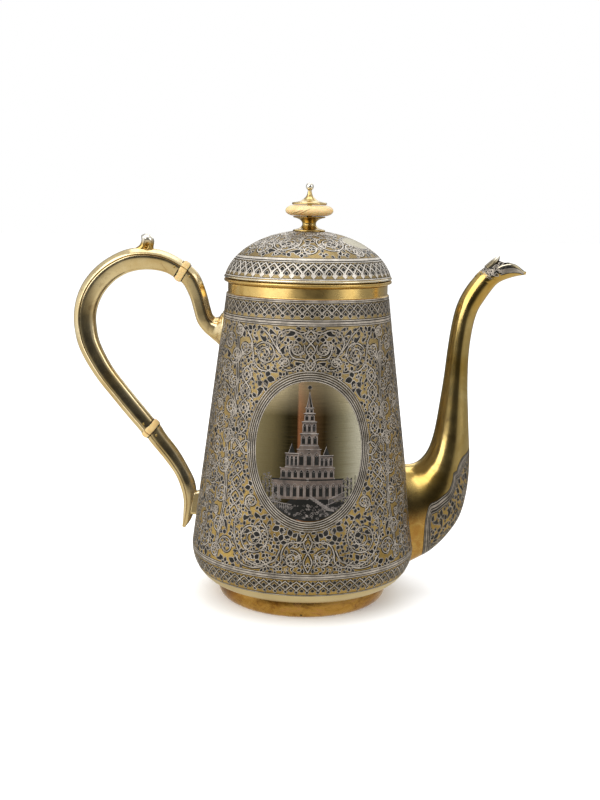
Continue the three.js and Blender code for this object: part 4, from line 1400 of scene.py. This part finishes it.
def fill_gaps(tracery, skin, turn, base_run, inside, width, low, high, smallest=0.62, largest=5.2):
    """Fills what is left of a region with scrolls, trefoils and leaves that just fit.

    The region is worked out on one side of an axis and mirrored to the other.
    """
    step, far, chunk = 0.8, 9.0, 400
    clearance, margin = 0.25, 6
    x, y = np.meshgrid(np.arange(step / 2, width, step), np.arange(low, high, step))
    x, y = x.ravel(), y.ravel()
    kept = inside(x, y)
    x, y = x[kept], y[kept]
    marks = np.concatenate(tracery.marks)
    away = (marks[:, 0] - turn + math.pi) % (2 * math.pi) - math.pi
    mark_x = away * skin.radius_at(marks[:, 1])
    mark_y = marks[:, 1] - base_run
    near = (mark_x > -margin) & (mark_x < width + margin)
    mark_x, mark_y = mark_x[near], mark_y[near]
    free = np.full(len(x), far)
    for i in range(0, len(x), chunk):
        rows = slice(i, i + chunk)
        gaps = np.hypot(x[rows, None] - mark_x[None], y[rows, None] - mark_y[None])
        free[rows] = gaps.min(axis=1) - clearance
    free = np.minimum(free, np.maximum(x, 0.3))
    free = np.minimum(free, np.minimum(y - low, high - y) + 0.2)
    made = 0
    while len(free) and free.max() > smallest:
        best = int(free.argmax())
        size = min(largest, float(free[best]))
        place = (float(x[best]), float(y[best]))
        lean = (made * 2.4) % (2 * math.pi)
        for hand in (1, -1):
            spot = Spot(skin, turn, base_run, hand).at(*place)
            fit_motif(tracery, spot, size, lean, made)
        free = np.minimum(free, np.hypot(x - place[0], y - place[1]) - size)
        made += 1


def fit_motif(tracery, spot, size, lean, made):
    """The motif that suits a round gap of a given size."""
    middle = (0, 0)
    if size > 3.0:
        tracery.scroll(spot, size * 0.96, lean, 1.35, 4, 0.3)
    elif size > 1.25:
        base = beyond(middle, lean, -0.75 * size)
        if made % 3 == 0:
            tracery.hook(spot, base, lean, size * 1.9, 0.4)
        else:
            tracery.trefoil(spot, base, lean, size * 1.75)
    else:
        ends = [beyond(middle, lean, sign * size * 1.05) for sign in (-1, 1)]
        tracery.leaf(spot, *ends, 0.4 if made % 2 else -0.4, 0.6, 0.2)


def frame_curve(across, up, count=200):
    """An oval's points round its middle."""
    turns = np.arange(count) * 2 * math.pi / count
    return np.stack([across * np.cos(turns), up * np.sin(turns)], -1)


def medal_frame(tracery, turn, base_run):
    """Five bright lines round the medallion."""
    spot = Spot(BODY_SKIN, turn, base_run)
    for grow in (0.0, 1.05, 2.1, 3.2, 4.3):
        tracery.stem(spot, frame_curve(MEDAL_ACROSS + 0.3 + grow, MEDAL_UP + 0.3 + grow), 0.44, True, 1.0)


def oval_ground(name, spot, across, up, material, body, node):
    """A smooth oval laid on a skin."""
    points, count = [], 120
    scales = np.linspace(0.004, 1, 36)
    for scale in scales:
        path = spot.lay(frame_curve(across * scale, up * scale, count))
        points.append(spot.skin.point(path[:, 0], path[:, 1], 0.04))
    faces = grid_faces(len(scales), count, True)
    put(name, np.concatenate(points), faces, material, body, (node,))


# Lifts of the view's layers, from the ground up to the crown of a bright bar.
HILL_LIFT = 0.045
WALL_LIFT = 0.06
ROOF_LIFT = 0.07
OPENING_LIFT = 0.08
LIT_SIDE_LIFT = 0.085
DARK_BAR_LIFT = 0.09
BAR_LOW, BAR_HIGH = 0.1, 0.16


class Picture:
    """Flat shapes for the medallion's view, in millimetres from its middle."""

    def __init__(self, tracery, turn, base_run):
        self.tracery = tracery
        self.spot = Spot(BODY_SKIN, turn, base_run)

    def fill(self, metal, lower, upper, lift, steps):
        """A shape between a lower and an upper line of points with the same count."""
        lower, upper = np.array(lower, float), np.array(upper, float)
        rows = []
        for t in np.linspace(0, 1, steps + 1):
            path = self.spot.lay(lower * (1 - t) + upper * t)
            rows.append(BODY_SKIN.point(path[:, 0], path[:, 1], lift))
        self.tracery.rows(metal, np.stack(rows, 1), False)

    def block(self, metal, left, right, low, high, lift=WALL_LIFT, slope=0.0):
        """An upright block; slope narrows its top on both sides."""
        count = max(2, int((right - left) / 1.5) + 1)
        bottom = [(x, low) for x in np.linspace(left, right, count)]
        top = [(x, high) for x in np.linspace(left + slope, right - slope, count)]
        self.fill(metal, bottom, top, lift, 2)

    def bar(self, points, width, metal="silver"):
        lifts = (BAR_LOW, BAR_HIGH) if metal == "silver" else (DARK_BAR_LIFT, None)
        self.tracery.ribbon(metal, self.spot.skin, self.spot.lay(points), width, *lifts)

    def storey(self, left, right, low, high, windows, slope=0.0):
        """A wall with a cornice, arched dark windows and bright reveals."""
        self.block("wall", left, right, low, high, slope=slope)
        tall, middle = high - low, (left + right) / 2
        for y in (low + 0.1, high - 0.1):
            self.bar([(left - 0.35, y), (middle, y), (right + 0.35, y)], 0.34)
        shadow = high - 0.55
        self.bar([(left - 0.2, shadow), (middle, shadow), (right + 0.2, shadow)], 0.3, "niello")
        pitch = (right - left) / windows
        for k in range(windows):
            x = left + pitch * (k + 0.5)
            half = pitch * 0.27
            sill, spring = low + 0.16 * tall, low + 0.66 * tall
            self.block("niello", x - half, x + half, sill, spring, OPENING_LIFT)
            arch = min(0.95, 2.2 * half / (0.24 * tall))
            self.tracery.leaf(self.spot, (x, low + 0.6 * tall), (x, low + 0.84 * tall), 0, arch, 0.14)
            for side in (-1, 1):
                reveal = x + side * half * 1.5
                self.bar([(reveal, low + 0.1 * tall), (reveal, low + 0.72 * tall)], 0.2)


# Left, right, low and high edges, windows, and how much the walls lean in.
STOREYS = [
    (-13.6, 12.2, -12.9, -7.6, 9, 0.0), (-11.2, -5.2, -7.4, -0.6, 3, 0.0), (5.0, 11.4, -7.4, -1.6, 3, 0.0),
    (-5.6, 5.4, -7.6, 1.4, 3, 0.0),
]
TOWER_STOREYS = [
    (-4.2, 4.0, 3.0, 8.8, 3, 0.0), (-3.4, 3.2, 8.9, 14.4, 3, 0.0), (-2.6, 2.4, 14.5, 18.4, 2, 0.3),
    (-1.9, 1.7, 18.4, 21.0, 2, 0.2),
]
TREES = [
    (-20.0, -14.0, 3.2), (-18.6, -17.6, 2.6), (18.8, -15.4, 2.8), (20.2, -18.8, 2.4), (-15.4, -21.8, 2.2),
]


def tower_view(tracery, turn, base_run):
    """A made-up bell tower on a terrace, with wings, a stair, a railing and trees."""
    view = Picture(tracery, turn, base_run)
    ground_view(view)
    view.storey(-17.5, 16.5, -22.5, -13.6, 11)
    view.block("niello", -17.9, 16.9, -13.6, -12.9)
    for storey in STOREYS:
        view.storey(*storey)
    view.block("wall", -5.4, 5.2, 1.4, 3.0, slope=0.9)
    for storey in TOWER_STOREYS:
        view.storey(*storey)
    spire_view(view)
    stair_view(view)
    planting_view(view, random.Random(7))


def ground_view(view):
    """The dark hill and the dark trees at its sides."""
    hill = []
    for x in np.linspace(-21.5, 21.5, 44):
        hill.append((x, -26.0 + 5.5 * math.exp(-((x - 2) / 13.0) ** 2) + 0.6 * math.sin(x * 1.3)))
    wide, edge = MEDAL_ACROSS + 0.2, 0.985
    low = [(x, -MEDAL_UP * math.sqrt(max(0, 1 - (x / wide) ** 2)) * edge) for x, _ in hill]
    view.fill("niello", low, hill, HILL_LIFT, 10)
    for side in (-1, 1):
        x = side * np.array([15.0, 17.0, 19.0, 21.0, 23.2])
        floor = -MEDAL_UP * np.sqrt(1 - (x / wide) ** 2) * edge
        top = np.array([-15.2, -14.6, -13.6, -13.9, -12.6]) + (0.8 if side > 0 else 0.0)
        lower = np.stack([x, np.maximum(floor, -25.0)], -1)
        view.fill("niello", lower, np.stack([x, top], -1), HILL_LIFT, 4)


def spire_view(view):
    """The tower's spire with its finial, and a pointed roof on each wing."""
    view.block("niello", -1.5, 1.3, 21.0, 28.6, ROOF_LIFT, 1.25)
    view.block("wall", -1.0, 0.2, 21.0, 27.6, LIT_SIDE_LIFT, 0.5)
    view.bar([(-1.6, 21.0), (-0.7, 25.0), (-0.15, 28.6)], 0.22)
    view.bar([(1.4, 21.0), (0.5, 25.0), (-0.05, 28.6)], 0.22)
    view.bar([(-0.1, 28.4), (-0.1, 29.9)], 0.34, "niello")
    view.tracery.leaf(view.spot, (-0.1, 29.6), (-0.1, 31.6), 0, 0.95, 0.16)
    view.bar([(-1.0, 30.7), (0.8, 30.7)], 0.3, "niello")
    for x, y, reach in ((-8.2, -0.6, 4.6), (8.2, -1.6, 4.2)):
        view.block("niello", x - 1.5, x + 1.5, y, y + reach, ROOF_LIFT, 1.4)
        view.bar([(x - 1.6, y), (x - 0.5, y + reach * 0.7), (x, y + reach)], 0.2)
        view.bar([(x, y + reach), (x, y + reach + 1.2)], 0.22, "niello")


def stair_view(view):
    """The stair and the railings beside it."""
    for k in range(9):
        x, y = 3.5 + 1.05 * k, -21.6 - 0.72 * k
        view.bar([(x - 3.6, y - 0.1), (x - 1.6, y - 0.5), (x + 0.4, y - 0.9)], 0.34)
        view.bar([(x - 3.5, y - 0.55), (x - 1.5, y - 0.95), (x + 0.5, y - 1.35)], 0.3, "niello")
    view.bar([(0.6, -20.4), (6.0, -24.6), (12.4, -28.4)], 0.36)
    for k in range(13):
        x = 9.6 + 0.66 * k
        view.bar([(x, -25.4 + 0.28 * k), (x, -22.4 + 0.28 * k)], 0.18)
    view.bar([(9.2, -22.6), (13.6, -20.9), (17.8, -19.2)], 0.26)
    view.bar([(9.2, -25.2), (13.6, -23.4), (17.8, -21.6)], 0.26)
    for k in range(10):
        x = -16.4 + 0.9 * k
        view.bar([(x, -26.8 - 0.1 * k), (x, -24.0 - 0.1 * k)], 0.18)
    view.bar([(-16.8, -24.1), (-12.4, -24.6), (-8.0, -25.1)], 0.26)


def planting_view(view, rng):
    """Scattered leaves on the ground, round trees, and birds in the sky."""
    for k in range(150):
        x = rng.uniform(-20.5, 20.5)
        floor = -MEDAL_UP * math.sqrt(max(0, 1 - (x / MEDAL_ACROSS) ** 2))
        y = rng.uniform(max(floor + 1.0, -32.0), -25.4 + 3.2 * (abs(x) > 13))
        if y < floor + 1.0:
            continue
        size = rng.uniform(0.8, 1.7)
        aim = rng.uniform(0, math.pi)
        tip = (x + size * math.cos(aim), y + size * 0.6 * math.sin(aim))
        view.tracery.leaf(view.spot, (x, y), tip, rng.uniform(-0.4, 0.4), 0.5, rng.choice((0.08, 0.14)))
    for x, y, size in TREES:
        for k in range(26):
            aim = rng.uniform(0, 2 * math.pi)
            reach = size * math.sqrt(rng.random())
            a, b = x + 0.8 * reach * math.cos(aim), y + reach * math.sin(aim)
            if (a / MEDAL_ACROSS) ** 2 + (b / MEDAL_UP) ** 2 > 0.93:
                continue
            view.tracery.leaf(view.spot, (a, b), beyond((a, b), aim, 0.7), 0.2, 0.7, 0.12)
    for k in range(7):
        x, y = rng.uniform(-16, 16), rng.uniform(6, 20)
        if abs(x) > 5:
            view.bar([(x - 0.7, y + 0.3), (x, y), (x + 0.7, y + 0.35)], 0.12, "niello")


LOWER_FRIEZE = (16.6, 24.4)
UPPER_FRIEZE = (147.3, 154.7)
LID_FRIEZE = (165.9, 173.4)
ARABESQUE = (175.7, 187.0)
# Heights and widths of the bright lines round the body and the lid.
BODY_LINES = [
    (16.0, 0.5), (25.0, 0.5), (26.1, 1.0), (27.2, 0.5), (144.4, 0.5), (145.5, 1.0), (146.7, 0.5),
    (155.1, 0.5), (156.0, 0.7),
]
LID_LINES = [(165.7, 0.5), (173.7, 0.45), (174.8, 1.3)]
LID_SECTORS = 8
PLATE_SECTOR = 1
PLATE_ACROSS, PLATE_UP = 9.2, 5.6


def bright_lines(tracery, skin, lines):
    for z, width in lines:
        tracery.line(skin, skin.run_at(z), width, width + 0.6)


def engraved_body():
    """The fields and medallions, the side panels, and the friezes between bright lines."""
    at = BODY_SKIN.run_at
    base_run, low, high = [float(at(z)) for z in (MEDAL_Z, FIELD_LOW_Z, FIELD_HIGH_Z)]
    low, high = low - base_run, high - base_run

    def beside_medal(x, y):
        outside = (x / (FRAME_ACROSS + 0.2)) ** 2 + (y / (FRAME_UP + 0.2)) ** 2 > 1
        return outside & (x < BORDER_TURN * BODY_SKIN.radius_at(base_run + y) - 1.4)

    def within_panel(x, y):
        return x < (math.radians(90) - BORDER_TURN) * BODY_SKIN.radius_at(base_run + y) - 1.2

    for name, turn in (("front", FRONT), ("back", FRONT + math.pi)):
        field = Tracery()
        for hand in (1, -1):
            upper_field(field, hand, turn, base_run)
            lower_field(field, hand, turn, base_run)
            side_column(field, hand, turn, base_run)
        field.marks.append(Spot(BODY_SKIN, turn, base_run).lay(frame_curve(FRAME_ACROSS, FRAME_UP)))
        fill_gaps(field, BODY_SKIN, turn, base_run, beside_medal, 50.0, low, high)
        field.finish(f"{name}_field", "pot", "niello_gilt", "body_shell")
        frame_lines = Tracery()
        medal_frame(frame_lines, turn, base_run)
        frame_lines.finish(f"{name}_medallion_frame", "pot", "niello_gilt", "body_shell")
        medal = Tracery()
        tower_view(medal, turn, base_run)
        medal.finish(f"{name}_medallion", "pot", "niello_gilt", "body_shell", silver=DIM_SILVER)
        middle = Spot(BODY_SKIN, turn, base_run)
        oval_ground(f"{name}_medallion_ground", middle, MEDAL_ACROSS, MEDAL_UP, SKY, "pot", "body_shell")
    for name, hand in (("spout_side", 1), ("handle_side", -1)):
        turn = FRONT + hand * math.pi / 2
        sides = Tracery()
        side_panel(sides, turn, base_run)
        fill_gaps(sides, BODY_SKIN, turn, base_run, within_panel, 40.0, low, high)
        sides.finish(f"{name}_panel", "pot", "niello_gilt", "body_shell")
    friezes = Tracery()
    interlaced_frieze(friezes, BODY_SKIN, *map(at, LOWER_FRIEZE), 68, 1.15, 0.5)
    interlaced_frieze(friezes, BODY_SKIN, *map(at, UPPER_FRIEZE), 56, 1.35, 0.46)
    bright_lines(friezes, BODY_SKIN, BODY_LINES)
    friezes.finish("body_friezes", "pot", "niello_gilt", "body_shell")


def engraved_lid():
    """The lid's frieze, and its arabesque with a plain plate in one sector."""
    at = LID_SKIN.run_at
    frieze = Tracery()
    interlaced_frieze(frieze, LID_SKIN, *map(at, LID_FRIEZE), 50, 1.4, 0.66, "silver")
    bright_lines(frieze, LID_SKIN, LID_LINES)
    frieze.finish("lid_frieze", "lid", "niello_gilt", "lid_dome", silver=LID_SILVER)
    dome = Tracery()
    low, high = [float(at(z)) for z in ARABESQUE]
    middle = low + (high - low) * 0.42
    half = math.pi / LID_SECTORS

    def beside_plate(x, y):
        off_plate = (x / (PLATE_ACROSS + 1.2)) ** 2 + (y / (PLATE_UP + 1.2)) ** 2 > 1
        return off_plate & within_sector(x, y)

    def within_sector(x, y):
        return x < half * LID_SKIN.radius_at(middle + y) - 0.3

    for k in range(LID_SECTORS):
        turn = 2 * half * (k + 0.5)
        spot = Spot(LID_SKIN, turn, middle, 1 if k % 2 else -1)
        plate = k == PLATE_SECTOR
        if plate:
            for grow in (0.3, 1.2):
                dome.stem(spot, frame_curve(PLATE_ACROSS + grow, PLATE_UP + grow, 90), 0.4, True, 0.9)
        else:
            dome.scroll(spot, 9.0, 1.2, 2.3, 8, 0.2)
        inside = beside_plate if plate else within_sector
        fill_gaps(dome, LID_SKIN, turn, middle, inside, 16.0, low - middle, high - middle, 0.7)
    dome.line(LID_SKIN, high, 0.5, 1.1, 160)
    dome.finish("lid_arabesque", "lid", "niello_gilt", "lid_dome", silver=LID_SILVER)
    plate_spot = Spot(LID_SKIN, 2 * half * (PLATE_SECTOR + 0.5), middle)
    oval_ground("lid_plate", plate_spot, PLATE_ACROSS, PLATE_UP, PLATE, "lid", "lid_dome")


# The shield's edge: shares of the spout's length, and turns from its outer edge.
SHIELD = [
    (0.41, 0.0), (0.398, 0.47), (0.357, 1.04), (0.314, 1.27), (0.297, 1.3), (0.276, 1.44), (0.256, 1.42),
    (0.218, 1.44), (0.179, 1.54), (0.143, 1.61), (0.116, 1.67), (0.099, 1.61), (0.083, 1.44), (0.074, 1.2),
    (0.068, 0.9), (0.063, 0.45), (0.061, 0.0),
]
# Each bright line's inset from that edge and its width.
SHIELD_LINES = [(0.25, 0.34), (1.35, 0.95), (2.5, 0.45), (3.6, 0.4)]
# Each pair of scrolls: share along the spout, distance from the middle line and size.
SHIELD_SCROLLS = [(0.13, 8.6, 4.6), (0.2, 4.2, 3.9), (0.27, 8.4, 3.4), (0.325, 3.4, 2.7)]


def engraved_spout(spout):
    """A shield over the spout's bulb: a banded border round an arabesque."""
    skin = SpoutSkin(spout, 0.72)
    middle = SpoutSkin(spout).run

    def at(share):
        return np.interp(share * middle[-1], middle, skin.run)

    edge = np.array([(turn, at(run)) for run, turn in SHIELD])
    path = smooth_run(edge, 110)
    flat = np.stack([path[:, 0] * skin.radius_at(path[:, 1]), path[:, 1]], -1)
    step = np.gradient(flat, axis=0)
    step /= np.linalg.norm(step, axis=1)[:, None]
    inward = np.stack([step[:, 1], -step[:, 0]], -1)
    thinning = [at(0.12), at(0.3)], [1.0, 0.62]
    border, widest = 4.2, 26.0
    slim = np.interp(path[:, 1], *thinning)[:, None]
    shield = Tracery()
    for hand in (1, -1):
        for inset, width in SHIELD_LINES:
            line = flat + inward * inset * slim
            line = np.stack([hand * np.maximum(line[:, 0], 0) / skin.radius_at(line[:, 1]), line[:, 1]], -1)
            wide = width * slim[:, 0]
            shield.ribbon("niello", skin, line, wide + 0.75, 0.03, 0.05)
            shield.ribbon("silver", skin, line, wide, 0.07, 0.14)
    order = np.argsort(path[:, 1])
    limit_run, limit_x = path[order, 1], flat[order, 0]

    def inside(x, y):
        return x < np.interp(y, limit_run, limit_x) - border * np.interp(y, *thinning)

    low, high = float(at(0.075)), float(at(0.38))
    for run, across, size in SHIELD_SCROLLS:
        for hand in (1, -1):
            shield.scroll(Spot(skin, 0, float(at(run)), hand).at(across, 0), size, 1.0, 1.6, 5)
    fill_gaps(shield, skin, 0, 0, inside, widest, low, high, 0.4, 2.6)
    shield.finish("spout_shield", "pot", "niello_gilt", "spout_shell", silver=SHIELD_SILVER)
    rows, columns = [], 41
    for run in np.linspace(limit_run[0], limit_run[-1], 70):
        limit = np.interp(run, limit_run, limit_x) / skin.radius_at(run)
        turns = np.linspace(-limit, limit, columns)
        rows.append(skin.point(turns, run + 0 * turns, 0.02))
    faces = grid_faces(len(rows), columns, False)
    put("spout_shield_ground", np.concatenate(rows), faces, GROUND, "pot", ("spout_shell",))


# The feathers' places from the cheek's lower edge to the lip; the first few have a bright line.
FEATHERS = (0.0, 0.12, 0.24, 0.36, 0.48, 0.64, 0.8, 0.92)
BRIGHT_FEATHERS = 5
# Run along the beak, turn from its outer edge, aim and size.
BEAK_LEAVES = [
    (1.4, 1.75, 0.6, 3.6), (1.2, 2.4, 0.4, 3.4), (1.2, 3.0, 1.2, 2.8), (4.6, 1.9, 0.7, 3.4),
    (4.4, 2.55, 0.5, 3.0), (7.6, 1.6, 0.7, 3.2), (7.4, 2.1, 0.9, 3.0), (3.0, 1.75, 2.2, 2.6),
    (6.2, 1.8, 2.2, 2.6), (2.8, 2.3, 2.4, 2.4),
]


def engraved_beak(beak):
    """Feathers round the neck, lines along the cheeks and a lip painted pale as a highlight."""
    skin = SpoutSkin(beak)
    total, count = skin.run[-1], 80
    share = np.interp(np.linspace(0, 1, count), skin.run / total, np.linspace(0, 1, len(skin.run)))
    lip = np.interp(share, beak.rim_run, beak.rim_turn)
    runs = np.linspace(0, total, count)
    low = np.interp(runs / total, [0.0, 0.1, 0.5, 0.8, 1.0], [1.5, 1.45, 1.2, 0.95, 0.5])
    open_from = int(np.argmax(lip < math.pi - 0.02))
    feathers = Tracery()
    for hand in (1, -1):
        for k, level in enumerate(FEATHERS):
            turns = low + (lip - low) * level
            path = np.stack([hand * turns, runs], -1)[open_from - 4 : count - 6]
            feathers.ribbon("niello", skin, path, 1.4, 0.05, 0.11)
            if k < BRIGHT_FEATHERS:
                feathers.ribbon("silver", skin, path, 0.3, 0.12, 0.17)
        # Painted highlight: the lip is a pale ribbon along the mouth.
        rim = np.stack([hand * (lip - 0.06), runs], -1)[open_from + 1 : count - 4]
        feathers.ribbon("wall", skin, rim, 0.8, 0.13, 0.3)
        for run, turn, aim, size in BEAK_LEAVES:
            feathers.hook(Spot(skin, hand * turn, run, hand), (0, 0), aim, size, 0.4)
    for k in range(9):
        turns = np.linspace(1.55, 3.1 - 0.14 * k, 30)
        for hand in (1, -1):
            path = np.stack([hand * turns, 1.2 + k + 0 * turns], -1)
            feathers.ribbon("niello", skin, path, 1.3, 0.02, 0.03)
    turns = np.linspace(1.4, 2.9, 35)
    dip = 1.6 * (np.cos(turns) < 0) * np.cos(turns) ** 2
    for run in (0.3, 1.0):
        for hand in (1, -1):
            path = np.stack([hand * turns, run + dip], -1)
            feathers.ribbon("niello", skin, path, 0.8, 0.03)
            feathers.ribbon("silver", skin, path, 0.34, 0.05, 0.12)
    feathers.finish("beak_feathers", "pot", "plain_gilt", "spout_beak", wall=WEAR_AND_HIGHLIGHT)


# ---- studio ----
def add_floor():
    """A round pale floor."""
    radius = 6.0
    rings, sides = 40, 96
    points = []
    for i in range(rings):
        reach = radius * (i / (rings - 1)) ** 2 + 0.001
        points += [(reach * math.cos(turn), reach * math.sin(turn), 0.0) for turn in circle(sides)]
    faces = grid_faces(rings, sides, True)
    faces.append(tuple(range(sides))[::-1])
    mesh = bpy.data.meshes.new("floor")
    mesh.from_pydata(points, [], faces)
    mesh.materials.append(pale_floor("pale_floor"))
    floor = bpy.data.objects.new("floor", mesh)
    bpy.context.scene.collection.objects.link(floor)
    floor.visible_glossy = False


def add_light(name, spot, aim, size, power, colour=(1, 1, 1), on_matt=1.0):
    light = bpy.data.lights.new(name, "AREA")
    light.diffuse_factor = on_matt
    light.shape = "RECTANGLE"
    light.size, light.size_y = size
    light.energy = power
    light.color = colour
    holder = bpy.data.objects.new(name, light)
    holder.location = spot
    direction = Vector(aim) - Vector(spot)
    holder.rotation_euler = direction.to_track_quat("-Z", "Y").to_euler()
    bpy.context.scene.collection.objects.link(holder)


FRONT_SCREENS = [
    (0.0, 1.15), (0.06, 0.95), (0.11, 0.08), (0.3, 0.12), (0.42, 0.04), (0.6, 0.03), (0.7, 0.05),
    (0.76, 0.34), (0.9, 0.42), (1.0, 0.36),
]
BACK_SCREENS = [(0.0, 1.0), (0.1, 0.3), (0.25, 0.08), (0.5, 0.2), (0.7, 0.3), (1.0, 0.36)]
TABLE = (0.74, 0.68, 0.55)
CEILING = (0.66, 0.64, 0.6)


def add_world():
    """A white room to the eye and to matt surfaces; metal sees softboxes between darker screens."""
    world = bpy.data.worlds.new("studio")
    bpy.context.scene.world = world
    world.use_nodes = True
    room = Nodes(world.node_tree)
    place = room.add("ShaderNodeTexCoord").outputs["Generated"]
    split = room.add("ShaderNodeSeparateXYZ", {"Vector": place})
    across, depth, up = [room.between(split.outputs[axis], -1, 1, 0, 1) for axis in "XYZ"]
    front = room.ramp(across, FRONT_SCREENS)
    back = room.ramp(across, BACK_SCREENS)
    behind = room.ramp(depth, [(0.42, 0.0), (0.58, 1.0)])
    round_about = room.mixed(behind, front, back)
    ceiling = room.ramp(up, [(0.56, 0.0), (0.68, 0.2), (0.78, 0.8), (0.9, 1.0)])
    table = room.ramp(up, [(0.24, 1.0), (0.31, 0.78), (0.385, 0.2), (0.43, 0.0)])
    studio = room.mixed(table, room.mixed(ceiling, round_about, CEILING), TABLE)
    path = room.add("ShaderNodeLightPath")
    matt = room.mixed(path.outputs["Is Diffuse Ray"], studio, (1.3, 1.3, 1.3))
    seen = room.mixed(path.outputs["Is Camera Ray"], matt, (1.0, 1.0, 1.0))
    room.feed(room.tree.nodes["Background"].inputs["Color"], seen)



def add_studio():
    add_floor()
    middle = (AXIS_X * MM, 0, 0.1)
    add_light("key", (-0.8, -0.8, 0.75), middle, (1.15, 1.2), 11.0, (1, 0.98, 0.95), 0.5)
    add_light("fill", (0.95, -0.5, 0.55), middle, (0.45, 0.8), 2.4)
    add_light("top", (0, 0.1, 1.3), middle, (1.0, 0.8), 4)
    add_light("back", (0.2, 1.1, 0.8), middle, (1.2, 0.6), 2.5)
    add_world()
    bpy.context.scene.view_settings.view_transform = "Standard"


add_body()
add_foot()
add_rim()
add_lid()
add_finial()
spout_skin = add_spout()
beak_skin = add_beak()
add_joint(spout_skin, beak_skin)
add_handle()
add_thumb_rest()
add_pad()
engraved_body()
engraved_lid()
engraved_spout(spout_skin)
engraved_beak(beak_skin)
add_studio()
